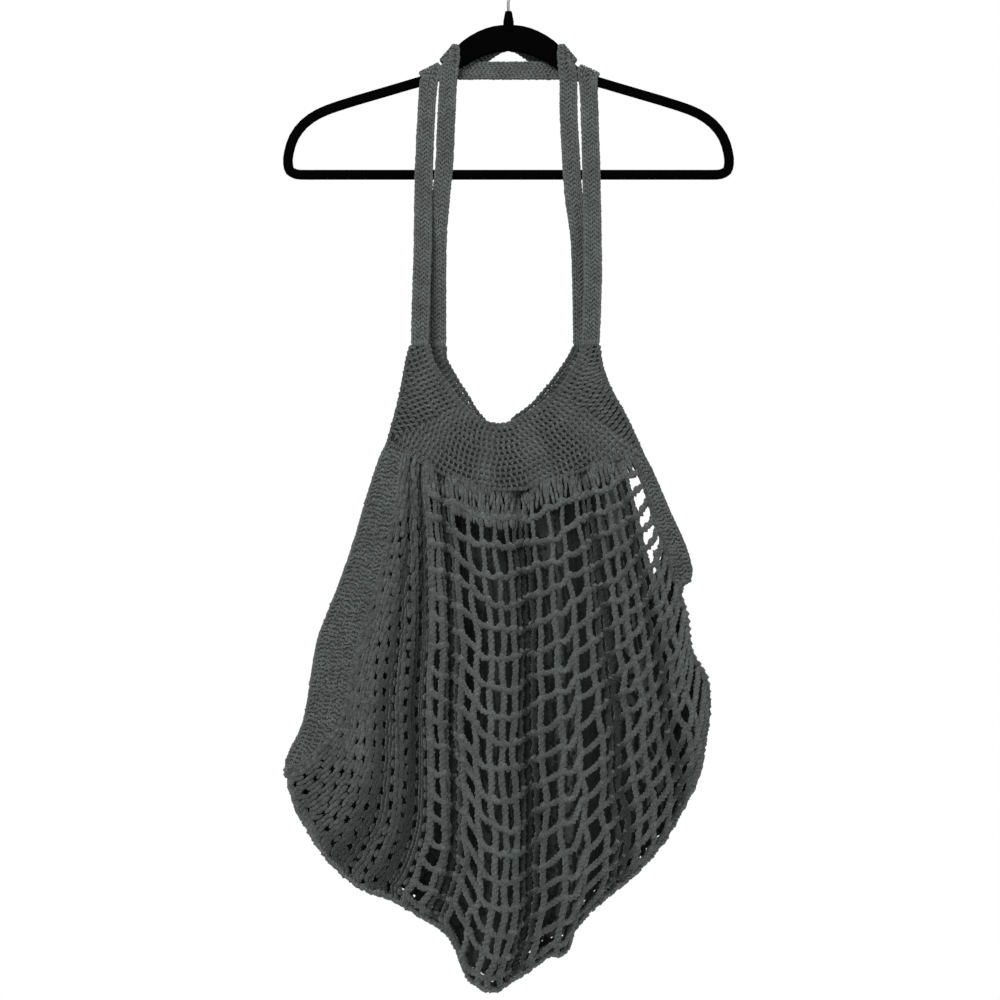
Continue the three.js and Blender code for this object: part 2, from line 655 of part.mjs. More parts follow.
// One side of a handle, from the foot up over the hanger to the start of the crossing
function handleSide(side, rows, upright, edge, footDepth, backDepth, crossingLevel) {
  const wrap = wrapLine(edge, rows.wrapOuter, rows.wrapInner);
  const along = new THREE.Vector3(-side * Math.cos(wrap.slope), 0, Math.sin(wrap.slope));
  const up = new THREE.Vector3(side * Math.sin(wrap.slope), 0, Math.cos(wrap.slope));
  const front = new THREE.Vector3(0, -1, 0);
  const pivot = new THREE.Vector3(side * wrap.x, 0, wrap.z).addScaledVector(up, -HANGER_THICKNESS / 2);
  const inward = new THREE.Vector3(-side, 0, 0);
  const rings = [];
  const footLevel = FEET_LEVEL + SEAM_GAP;
  for (const row of rows.leg) {
    const z = lerp(footLevel, pivot.z, row.rise);
    const y = lerp(footDepth, MID_DEPTH, smooth(Math.min(1, row.rise / upright)));
    rings.push(strapRing(new THREE.Vector3(row.across * BAG_WIDTH, y, z), inward, front, STRAP_WIDTH));
  }
  const wrapWidth = STRAP_WIDTH * WRAP_WIDENING;
  const quarter = Math.PI / 2;
  for (const [firstAngle, depth] of [[0, 0], [quarter, backDepth - STRAP_RADIUS]]) {
    for (let step = 0; step <= WRAP_STEPS; step += 1) {
      const angle = firstAngle + (step / WRAP_STEPS) * quarter;
      const outward = front.clone().multiplyScalar(Math.cos(angle)).addScaledVector(up, Math.sin(angle));
      const centre = pivot.clone().addScaledVector(outward, STRAP_RADIUS);
      centre.y += depth;
      if (step > 0 || firstAngle === 0 || depth > 0) {
        rings.push(strapRing(centre, along, outward, wrapWidth));
      }
    }
  }
  const behind = new THREE.Vector3(0, 1, 0);
  const start = new THREE.Vector3(pivot.x, backDepth, pivot.z);
  const end = new THREE.Vector3(pivot.x - side * STRAP_WIDTH * TURN_LENGTH, backDepth, crossingLevel);
  for (let step = 1; step <= TURN_STEPS; step += 1) {
    const share = step / TURN_STEPS;
    const turn = lerp(wrap.slope, Math.PI / 2, share);
    const across = new THREE.Vector3(-side * Math.cos(turn), 0, Math.sin(turn));
    const centre = start.clone().lerp(end, share);
    centre.z = lerp(start.z, end.z, smooth(share));
    rings.push(strapRing(centre, across, behind, lerp(wrapWidth, STRAP_WIDTH, share)));
  }
  return { rings, end };
}

function handle(rows, footDepth, backDepth) {
  const { outer } = hangerHalf();
  const edge = outer.slice(0, outer.findIndex((point, k) => k > 0 && point.x < outer[k - 1].x));
  const level = ARCH_TOP - rows.crossingFall * HANGER_FALL;
  const left = handleSide(-1, rows.left, rows.upright, edge, footDepth, backDepth, level);
  const right = handleSide(1, rows.right, rows.upright, edge, footDepth, backDepth, level);
  const crossing = [];
  for (let step = 1; step < CROSSING_STEPS; step += 1) {
    const share = step / CROSSING_STEPS;
    const centre = left.end.clone().lerp(right.end, share);
    centre.z += rows.crossingRise * HANGER_FALL * Math.sin(share * Math.PI) ** 2;
    crossing.push(strapRing(centre, new THREE.Vector3(0, 0, 1), new THREE.Vector3(0, 1, 0), STRAP_WIDTH));
  }
  return loftedBody([...left.rings, ...crossing, ...right.rings.reverse()]);
}

// Half the distance between the front sheet and the back sheet along the yoke's lower edge
const edgeHalfDepth = (share) => lerp(SLIT_HALF_DEPTH, YOKE_HALF_DEPTH, Math.sin(share * Math.PI));

// A yoke: a crescent of cloth between the neckline and its outer edge, side is -1 in front and 1 behind
const YOKE_ROWS = 4;
const NECKLINE_DEPTH = 0.8; // how much of the outer edge's depth the neckline has

function yoke(rows, side) {
  const sheet = new Sheet();
  const last = rows.length - 1;
  const grid = rows.map((row, rib) => {
    const neck = place(row.neckAcross, row.neckFall);
    const edge = place(row.edgeAcross, row.edgeFall);
    const fromFoot = Math.min(1, Math.min(rib, last - rib) / LEFT_CORNER_RIB);
    const share = (rib - LEFT_CORNER_RIB) / (RIGHT_CORNER_RIB - LEFT_CORNER_RIB);
    const outer = edgeHalfDepth(THREE.MathUtils.clamp(share, 0, 1));
    const inner = lerp(FOOT_HALF_DEPTH, outer, NECKLINE_DEPTH);
    return Array.from({ length: YOKE_ROWS + 1 }, (unused, k) => {
      const point = neck.clone().lerp(edge, k / YOKE_ROWS);
      const half = lerp(FOOT_HALF_DEPTH, lerp(inner, outer, k / YOKE_ROWS), smooth(fromFoot));
      return sheet.point(point.x, MID_DEPTH + side * half, point.y);
    });
  });
  for (let rib = 0; rib < last; rib += 1) {
    for (let k = 0; k < YOKE_ROWS; k += 1) {
      sheet.faces.push([grid[rib][k], grid[rib][k + 1], grid[rib + 1][k + 1], grid[rib + 1][k]]);
    }
  }
  return sheet.body(YOKE_THICKNESS);
}

// Half the depth of the bag along a side, from the yoke's corner down the slit to its foot and below
function sideHalfDepth(share, slitFoot) {
  const down = Math.min(1, share / slitFoot);
  const open = Math.sqrt(Math.max(0, 1 - down ** 3));
  return Math.max(HEM_HALF_DEPTH, SLIT_HALF_DEPTH * open);
}

// The net's four outlines, as seen from the front
const CURVE_SAMPLES = 160;
const yokeEdge = FRONT_YOKE.slice(LEFT_CORNER_RIB, RIGHT_CORNER_RIB + 1)
  .map((row) => place(row.edgeAcross, row.edgeFall));

function netOutlines() {
  const leftTop = place(LEFT_BAND[0].netAcross, LEFT_BAND[0].netFall).x;
  const rightTop = place(RIGHT_BAND[0].netAcross, RIGHT_BAND[0].netFall).x;
  const topAt = (share) => {
    const x = lerp(leftTop, rightTop, share);
    return new THREE.Vector2(x, heightAt(yokeEdge, x) - SEAM_GAP);
  };
  const side = (share, band, free) => curveThrough([
    topAt(share),
    ...band.slice(1).map((row) => place(row.netAcross, row.netFall)),
    ...free.map((row) => place(row.across, row.fall)),
  ], CURVE_SAMPLES);
  const fold = curveThrough(LOWER_FOLD.map((row) => place(row.across, row.fall)), CURVE_SAMPLES);
  const foldAt = (share) => {
    const x = lerp(fold[0].x, fold[fold.length - 1].x, share);
    return new THREE.Vector2(x, heightAt(fold, x));
  };
  return { topAt, foldAt, left: side(0, LEFT_BAND, LEFT_SIDE), right: side(1, RIGHT_BAND, RIGHT_SIDE) };
}

// A value between two rows of a pleat table
function between(pleats, line, column, shape) {
  const first = Math.min(Math.floor(line), pleats.length - 2);
  return lerp(pleats[first][column], pleats[first + 1][column], shape(line - first));
}

// How the net fills out: the pleats' depth has a least share, and follows a half wave down the net from
// one share to another. The powers say how soon the sheet and the pleats fill out from the sides.
const FULLNESS = { least: 0.35, from: 0.12, to: 0.92, sheetPower: 0.7, pleatPower: 0.3, thinnest: 0.8 };

// A place on the net: line counts the pleat lines from the left, down is a share from the yoke to the fold
const outlines = netOutlines();

function netPoint(pleats, side, line, down) {
  const across = line / (pleats.length - 1);
  const straight = (share) => share;
  const top = outlines.topAt(between(pleats, line, "top", straight));
  const foot = outlines.foldAt(between(pleats, line, "foot", straight));
  const left = pointAlong(outlines.left, down);
  const right = pointAlong(outlines.right, down);
  const [topLeft, topRight] = [outlines.topAt(0), outlines.topAt(1)];
  const [footLeft, footRight] = [outlines.foldAt(0), outlines.foldAt(1)];
  const blend = (axis) => {
    const corners = lerp(
      lerp(topLeft[axis], topRight[axis], across),
      lerp(footLeft[axis], footRight[axis], across),
      down,
    );
    return lerp(top[axis], foot[axis], down) + lerp(left[axis], right[axis], across) - corners;
  };
  const middle = down < 0.5
    ? lerp(YOKE_HALF_DEPTH, BELLY_HALF_DEPTH, smooth(down * 2))
    : lerp(HEM_HALF_DEPTH, BELLY_HALF_DEPTH, Math.sqrt(1 - (2 * down - 1) ** 2));
  const edge = sideHalfDepth(down, across < 0.5 ? LEFT_SLIT_FOOT : RIGHT_SLIT_FOOT);
  const inside = Math.sin(Math.PI * across);
  const half = lerp(edge, middle, inside ** FULLNESS.sheetPower);
  const wave = Math.sin(Math.PI * lerp(FULLNESS.from, FULLNESS.to, down));
  const fullness = PLEAT_DEPTH * lerp(FULLNESS.least, 1, wave) * inside ** FULLNESS.pleatPower;
  const pleat = fullness * between(pleats, line, "depth", smooth);
  const depth = Math.max(half - pleat, HEM_HALF_DEPTH * FULLNESS.thinnest);
  return new THREE.Vector3(blend("x"), MID_DEPTH + side * depth, blend("y"));
}

function gridLines(open, whole) {
  const lines = new Set(whole);
  open.forEach((span) => lines.add(span.from).add(span.to));
  return [...lines].sort((a, b) => a - b);
}

const netRows = gridLines(OPEN_ROWS, [0, RIGHT_SLIT_FOOT, LEFT_SLIT_FOOT, 1]);
const isOpen = (open, middle) => open.some((span) => span.from < middle && middle < span.to);

// One wall of the net, with a face between each two lines and rows that bound no gap
function netWall(sheet, pleats, columns, side) {
  const lines = gridLines(columns, pleats.map((row, index) => index));
  const grid = lines.map((line) => netRows.map((down) => {
    const point = netPoint(pleats, side, line, down);
    return sheet.point(point.x, point.y, point.z);
  }));
  for (let i = 0; i < lines.length - 1; i += 1) {
    const openColumn = isOpen(columns, (lines[i] + lines[i + 1]) / 2);
    for (let k = 0; k < netRows.length - 1; k += 1) {
      const face = [grid[i][k], grid[i][k + 1], grid[i + 1][k + 1], grid[i + 1][k]];
      if (!(openColumn && isOpen(OPEN_ROWS, (netRows[k] + netRows[k + 1]) / 2))) {
        sheet.faces.push(side < 0 ? face : face.reverse());
      }
    }
  }
  return grid;
}

// The pouch: both walls, the sides below the slits and the lower fold between them
function netPouch() {
  const sheet = new Sheet();
  const front = netWall(sheet, FRONT_PLEATS, FRONT_OPEN_COLUMNS, -1);
  const back = netWall(sheet, BACK_PLEATS, BACK_OPEN_COLUMNS, 1);
  const [frontLeft, backLeft] = [front[0], back[0]];
  const [frontRight, backRight] = [front[front.length - 1], back[back.length - 1]];
  for (let k = 0; k < netRows.length - 1; k += 1) {
    if (netRows[k] >= LEFT_SLIT_FOOT) {
      sheet.faces.push([frontLeft[k + 1], frontLeft[k], backLeft[k], backLeft[k + 1]]);
    }
    if (netRows[k] >= RIGHT_SLIT_FOOT) {
      sheet.faces.push([frontRight[k], frontRight[k + 1], backRight[k + 1], backRight[k]]);
    }
  }
  const frontFold = front.map((column) => column[netRows.length - 1]);
  const backFold = back.map((column) => column[netRows.length - 1]);
  const across = (k) => (k === undefined ? Infinity : sheet.points[k].x);
  let [i, j] = [0, 0];
  while (i < frontFold.length - 1 || j < backFold.length - 1) {
    if (across(frontFold[i + 1]) <= across(backFold[j + 1])) {
      sheet.faces.push([frontFold[i + 1], frontFold[i], backFold[j]]);
      i += 1;
    } else {
      sheet.faces.push([backFold[j], backFold[j + 1], frontFold[i]]);
      j += 1;
    }
  }
  return sheet.body(NET_THICKNESS);
}

// A slit's band: down the front edge of the slit, round its foot and up the back edge
const BAND_FOOT_STEPS = 4;
const BAND_FOOT_BULGE = 0.6; // a share of the half depth that the foot goes round

function slitBand(rows, outline, side, slitFoot) {
  const slitCurve = curveThrough(rows.map((row) => place(row.slitAcross, row.slitFall)), CURVE_SAMPLES);
  const outer = side * BAND_GAP;
  const ringAt = (down, depth, bulge, outward) => {
    const net = pointAlong(outline, down);
    const slit = pointAlong(slitCurve, down / slitFoot);
    const netX = net.x + outer;
    const netZ = down > 0 ? net.y + BAND_GAP : heightAt(yokeEdge, netX) - SEAM_GAP;
    const slitZ = down > 0 ? slit.y : slit.y - SEAM_GAP;
    const corners = [
      new THREE.Vector3(slit.x + bulge, MID_DEPTH + depth, slitZ),
      new THREE.Vector3(netX + bulge, MID_DEPTH + depth, netZ),
    ];
    const offset = outward.clone().multiplyScalar(BAND_THICKNESS / 2);
    return [
      corners[0].clone().add(offset),
      corners[1].clone().add(offset),
      corners[1].clone().sub(offset),
      corners[0].clone().sub(offset),
    ];
  };
  const legRows = netRows.filter((down) => down <= slitFoot);
  const leg = (depthSide) => legRows.map((down) => {
    const depth = depthSide * sideHalfDepth(down, slitFoot);
    return ringAt(down, depth, 0, new THREE.Vector3(0, depthSide, 0));
  });
  const half = sideHalfDepth(slitFoot, slitFoot);
  const foot = [];
  for (let step = 1; step < BAND_FOOT_STEPS; step += 1) {
    const angle = (step / BAND_FOOT_STEPS) * Math.PI;
    const outward = new THREE.Vector3(side * Math.sin(angle), -Math.cos(angle), 0);
    const bulge = side * half * Math.sin(angle) * BAND_FOOT_BULGE;
    foot.push(ringAt(slitFoot, -half * Math.cos(angle), bulge, outward));
  }
  return loftedBody([...leg(-1), ...foot, ...leg(1).reverse()]);
}

const group = new THREE.Group();

function addPiece(name, geometry, finish) {
  const mesh = new THREE.Mesh(geometry, new THREE.MeshStandardMaterial(finish));
  mesh.name = name;
  group.add(mesh);
}

const frontFoot = MID_DEPTH - FOOT_HALF_DEPTH;
const backFoot = MID_DEPTH + FOOT_HALF_DEPTH;
const backLayer = STRAP_RADIUS + STRAP_THICKNESS + SEAM_GAP;
addPiece("hanger_frame", hangerFrame(), FLOCK);
addPiece("hanger_hook", hangerHook(), WIRE);
addPiece("front_handle", handle(FRONT_HANDLE, frontFoot, STRAP_RADIUS), YARN);
addPiece("back_handle", handle(BACK_HANDLE, backFoot, backLayer), YARN);
addPiece("front_yoke", yoke(FRONT_YOKE, -1), YARN);
addPiece("back_yoke", yoke(BACK_YOKE, 1), YARN);
addPiece("left_side_band", slitBand(LEFT_BAND, outlines.left, -1, LEFT_SLIT_FOOT), YARN_SHADE);
addPiece("right_side_band", slitBand(RIGHT_BAND, outlines.right, 1, RIGHT_SLIT_FOOT), YARN_SHADE);
addPiece("net_pouch", netPouch(), YARN);

export default group;
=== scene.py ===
"""The looks of a crocheted string shopping bag that hangs from a thin flocked coat hanger.

Metres, +Z up, the front towards -Y, the origin at the inner top of the hanger's hook.
"""
import logging
import math
from dataclasses import dataclass, field
from enum import Enum
from typing import Iterable

import bpy
import numpy as np
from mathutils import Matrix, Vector


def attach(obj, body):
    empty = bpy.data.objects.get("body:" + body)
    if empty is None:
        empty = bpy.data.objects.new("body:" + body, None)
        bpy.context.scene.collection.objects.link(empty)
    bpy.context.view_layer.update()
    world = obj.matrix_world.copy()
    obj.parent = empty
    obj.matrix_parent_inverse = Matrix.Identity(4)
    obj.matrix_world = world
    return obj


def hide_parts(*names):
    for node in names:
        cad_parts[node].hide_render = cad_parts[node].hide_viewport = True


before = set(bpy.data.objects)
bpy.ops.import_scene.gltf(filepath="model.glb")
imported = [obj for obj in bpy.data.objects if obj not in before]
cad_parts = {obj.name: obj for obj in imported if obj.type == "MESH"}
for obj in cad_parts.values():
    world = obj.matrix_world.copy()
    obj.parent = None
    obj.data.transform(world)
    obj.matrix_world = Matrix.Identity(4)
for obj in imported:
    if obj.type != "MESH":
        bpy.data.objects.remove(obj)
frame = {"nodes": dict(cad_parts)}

logging.basicConfig(level=logging.INFO, format="%(name)s: %(message)s")
LOG = logging.getLogger("string_bag")

MM = 0.001
Array = np.ndarray
Value = np.ndarray | float
Ring = tuple[Array, Array, Array, float]


class Side(Enum):
    """The front or the back of the bag, with the sign of its depth."""

    FRONT = -1
    BACK = 1


class Hand(Enum):
    """The left or the right side of the bag, as seen from the front."""

    LEFT = -1
    RIGHT = 1


@dataclass(frozen=True)
class Sizes:
    """Driving sizes in millimetres, with the values of the part's source."""

    hanger_width: float = 445.0
    hanger_fall: float = 153.0
    hanger_thickness: float = 6.0
    neck_height: float = 13.0
    hook_inner_radius: float = 18.0
    hook_wire_radius: float = 1.4
    hook_shank: float = 24.0
    bag_width: float = 414.0
    bag_fall: float = 634.0
    handle_fall: float = 317.0
    strap_width: float = 17.0
    strap_thickness: float = 4.5
    foot_half_depth: float = 8.0
    yoke_half_depth: float = 19.0
    slit_half_depth: float = 16.0
    belly_half_depth: float = 40.0
    hem_half_depth: float = 7.0
    pleat_depth: float = 19.0
    seam_gap: float = 0.8
    rest_gap: float = 0.4

    @property
    def arch_top(self) -> float:
        """Height of the arch's top edge."""
        return -(self.hook_inner_radius * 2 + self.hook_wire_radius + self.hook_shank + self.neck_height)

    @property
    def feet_level(self) -> float:
        """Height of the handles' feet."""
        return self.arch_top - self.handle_fall

    @property
    def strap_radius(self) -> float:
        """Distance from the hanger's middle plane to the middle of a strap that lies on it."""
        return self.hanger_thickness / 2 + self.rest_gap + self.strap_thickness / 2

    @property
    def mid_depth(self) -> float:
        """Depth of the bag's middle plane."""
        return -self.strap_radius


SIZES = Sizes()

# Half of the hanger's outer edge, from the arch's top to the shoulder's end: across and fall.
HANGER_EDGE = np.array([
    (0.0, 0.0), (0.067, 0.01), (0.135, 0.044), (0.202, 0.104), (0.252, 0.176), (0.279, 0.228), (0.31, 0.276),
    (0.36, 0.317), (0.449, 0.359), (0.584, 0.417), (0.764, 0.496), (0.854, 0.548), (0.921, 0.616), (0.971, 0.711),
    (0.996, 0.822), (1.0, 0.9),
])

# Ribs of the yokes: neckline across and fall, outer edge across and fall.
FRONT_YOKE = np.array([
    (-0.189, 0.0, -0.231, 0.0), (-0.181, 0.025, -0.24, 0.023), (-0.161, 0.048, -0.251, 0.062),
    (-0.135, 0.071, -0.265, 0.104), (-0.115, 0.089, -0.284, 0.149), (-0.096, 0.102, -0.199, 0.185),
    (-0.07, 0.116, -0.127, 0.207), (-0.044, 0.123, -0.073, 0.22), (-0.02, 0.125, -0.02, 0.2245),
    (0.008, 0.121, 0.034, 0.222), (0.037, 0.11, 0.094, 0.211), (0.067, 0.099, 0.151, 0.199),
    (0.096, 0.085, 0.225, 0.183), (0.12, 0.07, 0.315, 0.166), (0.142, 0.051, 0.275, 0.11),
    (0.161, 0.03, 0.239, 0.067), (0.17, 0.016, 0.221, 0.033), (0.176, 0.0, 0.213, 0.0),
])
BACK_YOKE = np.array([
    (-0.151, 0.0, -0.189, 0.0), (-0.151, 0.019, -0.208, 0.026), (-0.139, 0.036, -0.23, 0.064),
    (-0.118, 0.059, -0.256, 0.106), (-0.096, 0.081, -0.284, 0.149), (-0.08, 0.099, -0.199, 0.185),
    (-0.058, 0.116, -0.127, 0.207), (-0.039, 0.127, -0.073, 0.22), (-0.02, 0.13, -0.02, 0.2245),
    (-0.001, 0.126, 0.034, 0.222), (0.015, 0.112, 0.094, 0.211), (0.037, 0.102, 0.151, 0.199),
    (0.061, 0.089, 0.225, 0.183), (0.089, 0.068, 0.315, 0.166), (0.115, 0.047, 0.27, 0.112),
    (0.137, 0.026, 0.232, 0.07), (0.151, 0.011, 0.203, 0.036), (0.157, 0.0, 0.195, 0.0),
])
LEFT_CORNER_RIB = 4
RIGHT_CORNER_RIB = 13

# Rows of the slits' bands: slit edge across and fall, net edge across and fall.
LEFT_BAND = np.array([
    (-0.284, 0.149, -0.246, 0.165), (-0.308, 0.185, -0.256, 0.2), (-0.337, 0.244, -0.268, 0.259),
    (-0.363, 0.303, -0.287, 0.315), (-0.401, 0.374, -0.315, 0.384), (-0.446, 0.449, -0.353, 0.455),
    (-0.462, 0.5, -0.37, 0.508), (-0.477, 0.562, -0.387, 0.561), (-0.491, 0.595, -0.41, 0.598),
    (-0.515, 0.626, -0.453, 0.629), (-0.525, 0.644, -0.494, 0.651),
])
RIGHT_BAND = np.array([
    (0.315, 0.166, 0.294, 0.17), (0.341, 0.2, 0.315, 0.207), (0.363, 0.233, 0.332, 0.241),
    (0.387, 0.269, 0.349, 0.276), (0.41, 0.301, 0.368, 0.311), (0.425, 0.328, 0.379, 0.339),
    (0.433, 0.351, 0.391, 0.362), (0.429, 0.365, 0.401, 0.373),
])
LEFT_SIDE = np.array([(-0.52, 0.657), (-0.522, 0.675)])
RIGHT_SIDE = np.array([
    (0.402, 0.376), (0.406, 0.393), (0.42, 0.416), (0.425, 0.446), (0.432, 0.477), (0.463, 0.511),
    (0.472, 0.543), (0.472, 0.578),
])
LOWER_FOLD = np.array([
    (-0.522, 0.675), (-0.501, 0.719), (-0.456, 0.77), (-0.418, 0.803), (-0.349, 0.84), (-0.272, 0.859),
    (-0.199, 0.887), (-0.144, 0.911), (-0.12, 0.939), (-0.092, 0.981), (-0.039, 1.0), (0.008, 0.984),
    (0.056, 0.964), (0.089, 0.947), (0.134, 0.939), (0.158, 0.902), (0.215, 0.863), (0.287, 0.825),
    (0.358, 0.775), (0.406, 0.724), (0.446, 0.671), (0.46, 0.629), (0.472, 0.578),
])

# Ridge and valley lines of the net: place at the top, place at the fold, depth.
FRONT_PLEATS = np.array([
    (0.0, 0.0, 0.35), (0.013, 0.062, 0.0), (0.031, 0.122, 0.5), (0.048, 0.175, 0.1), (0.07, 0.237, 0.75),
    (0.09, 0.275, 0.05), (0.121, 0.325, 0.05), (0.157, 0.353, 0.9), (0.2, 0.382, 0.1), (0.33, 0.453, 0.0),
    (0.444, 0.505, 0.15), (0.495, 0.54, 1.0), (0.553, 0.58, 0.15), (0.644, 0.659, 0.0), (0.736, 0.744, 0.1),
    (0.775, 0.787, 0.6), (0.833, 0.84, 0.05), (0.885, 0.897, 0.1), (0.921, 0.935, 0.55), (0.965, 0.974, 0.1),
    (1.0, 1.0, 0.35),
])
BACK_PLEATS = np.array([
    (0.0, 0.0, 0.35), (0.057, 0.098, 0.0), (0.119, 0.199, 0.6), (0.22, 0.294, 0.05), (0.295, 0.371, 0.7),
    (0.401, 0.457, 0.0), (0.498, 0.533, 0.8), (0.599, 0.62, 0.05), (0.683, 0.706, 0.7), (0.789, 0.797, 0.0),
    (0.877, 0.888, 0.6), (0.947, 0.955, 0.05), (1.0, 1.0, 0.35),
])
SLIT_FOOT = {Hand.LEFT: 0.96, Hand.RIGHT: 0.5}

# The posts of the net, counted in pleat lines from the left. Left of the first one the net is drawn shut.
CLOSED_PART = 5.2
FRONT_POSTS = np.array([
    CLOSED_PART, 6.0, 6.35, 7.05, 7.6, 8.0, 8.5, 9.0, 9.5, 10.0, 10.5, 11.0, 11.5, 12.0, 12.68, 13.34, 14.0, 14.6,
    15.15, 15.75, 16.45, 17.2, 17.9, 18.6, 19.2, 20.0,
])
# The back's posts end at the open cells beside the right slit, and one more closes the side below them.
BACK_SIDE_LINE = 11.05
BACK_POSTS = np.concatenate([np.linspace(0.3, BACK_SIDE_LINE, 38), [12.0]])
NET_ROWS = 19

# Legs of the handles: across and rise, from the foot up.
HANDLES = {
    Side.FRONT: {
        "upright": 1.0, "fall": 0.29, "rise": 0.0,
        Hand.LEFT: (((-0.21, 0.0), (-0.207, 0.2), (-0.204, 0.34), (-0.201, 0.65), (-0.192, 0.93)), 0.395, 0.3),
        Hand.RIGHT: (((0.1945, 0.0), (0.1995, 0.2), (0.2, 0.34), (0.1965, 0.65), (0.191, 0.93)), 0.393, 0.317),
    },
    Side.BACK: {
        "upright": 0.58, "fall": 0.2, "rise": 0.1,
        Hand.LEFT: (((-0.17, 0.0), (-0.169, 0.34), (-0.161, 0.5), (-0.1525, 0.63), (-0.149, 0.75),
                     (-0.1425, 0.93)), 0.3, 0.222),
        Hand.RIGHT: (((0.176, 0.0), (0.17, 0.34), (0.156, 0.5), (0.149, 0.63), (0.143, 0.8), (0.142, 0.93)),
                     0.298, 0.224),
    },
}
WRAP_WIDENING = 1.25
TURN_LENGTH = 1.3

# The inner sheets of the yokes and the net, dark as painted shade behind the stitches: thickness in millimetres and
# brightness.
THIN_SHEET = 0.8
SHADE_SHEET_TONE = 0.1


def lerp(a: Value, b: Value, share: Value) -> Value:
    """A value between two others."""
    return a + (b - a) * share


def smooth(share: Value) -> Value:
    """A share with a soft start and end."""
    return share * share * (3 - 2 * share)


def place(table: Array) -> Array:
    """Turn shares of the bag's width and fall into millimetres.

    Args:
        table: rows of shares across and down from the handles' feet.

    Returns:
        The same rows, across and up from the origin.
    """
    table = np.asarray(table, float)
    return np.stack([table[..., 0] * SIZES.bag_width, SIZES.feet_level - table[..., 1] * SIZES.bag_fall], -1)


def unit(vectors: Array) -> Array:
    """Vectors of length one."""
    return vectors / np.maximum(np.linalg.norm(vectors, axis=-1, keepdims=True), 1e-9)


def wobble(values: Array, seed: float) -> Array:
    """A slow smooth random curve between about -1 and 1.

    Args:
        values: places along the curve.
        seed: number that picks one of the curves.

    Returns:
        The curve's value at each place.
    """
    values = np.asarray(values, float)
    return (np.sin(values * 1.7 + seed * 12.9) + np.sin(values * 3.1 + seed * 78.2) * 0.6
            + np.sin(values * 5.3 + seed * 37.7) * 0.35) / 1.6


def run_along(points: Array) -> Array:
    """Length of a line of points up to each of them."""
    return np.concatenate([[0], np.cumsum(np.linalg.norm(np.diff(points, axis=0), axis=1))])


def axes_along(path: Array, normals: Array) -> tuple[Array, Array]:
    """Two directions square to a path.

    Args:
        path: points of the path.
        normals: rough directions of the first one.

    Returns:
        The first direction, near the given one, and the second at each point.
    """
    tangent = unit(np.gradient(path, axis=0))
    normal = unit(normals - tangent * np.sum(normals * tangent, 1, keepdims=True))
    return normal, np.cross(tangent, normal)


class Curve:
    """A smooth curve through the rows of a table, as in the part's source."""

    def __init__(self, points: Array, samples: int = 160, straight: bool = False) -> None:
        """Lay the curve.

        Args:
            points: rows that the curve goes through; extra columns are carried along.
            samples: pieces that the smooth curve is cut into.
            straight: whether the rows are joined by straight lines.
        """
        points = np.asarray(points, float)
        if straight:
            self.points = points
        else:
            last = len(points) - 1
            at = np.linspace(0, last, samples + 1)
            k = np.minimum(at.astype(int), last - 1)
            w = (at - k)[:, None]
            p0, p1 = points[np.maximum(k - 1, 0)], points[k]
            p2, p3 = points[k + 1], points[np.minimum(k + 2, last)]
            v0, v1 = (p2 - p0) / 2, (p3 - p1) / 2
            self.points = ((2 * p1 - 2 * p2 + v0 + v1) * w ** 3 + (-3 * p1 + 3 * p2 - 2 * v0 - v1) * w ** 2
                           + v0 * w + p1)
        self.lengths = run_along(self.points)

    @property
    def length(self) -> float:
        """The curve's whole length."""
        return float(self.lengths[-1])

    def along(self, share: Array) -> Array:
        """Points on the curve.

        Args:
            share: shares of the curve's length.

        Returns:
            A row of the curve's columns for each share.
        """
        wanted = np.asarray(share, float) * self.length
        return np.stack([np.interp(wanted, self.lengths, self.points[:, k]) for k in range(self.points.shape[1])], -1)

    def height_at(self, across: Array) -> Array:
        """Heights of the curve at places across."""
        return np.interp(across, self.points[:, 0], self.points[:, 1])


class Surface:
    """A sheet of cloth that gives points for pairs of parameters."""

    step = (0.02, 0.01)

    def at(self, u: Array, v: Array) -> Array:
        """Points in millimetres."""
        raise NotImplementedError

    def basis(self, u: Array, v: Array) -> tuple[Array, Array, Array, Array]:
        """Points, unit tangents along u and v, and unit normals.

        Args:
            u: first parameters.
            v: second parameters.

        Returns:
            Arrays of points, tangents along u, tangents along v and normals.
        """
        du, dv = self.step
        along = unit(self.at(u + du, v) - self.at(u - du, v))
        down = unit(self.at(u, v + dv) - self.at(u, v - dv))
        normal = unit(np.cross(along, down))
        return self.at(u, v), along, unit(np.cross(normal, along)), normal


YOKE_EDGE = Curve(place(FRONT_YOKE[LEFT_CORNER_RIB:RIGHT_CORNER_RIB + 1, 2:4]), straight=True)


def side_half_depth(share: Array, slit_foot: float) -> Array:
    """Half the depth of the bag along one of its sides.

    Args:
        share: shares of the side's length.
        slit_foot: share at which the slit ends.

    Returns:
        Half depths in millimetres.
    """
    down = np.minimum(1, np.asarray(share) / slit_foot)
    return np.maximum(SIZES.hem_half_depth, SIZES.slit_half_depth * np.sqrt(np.maximum(0, 1 - down ** 3)))


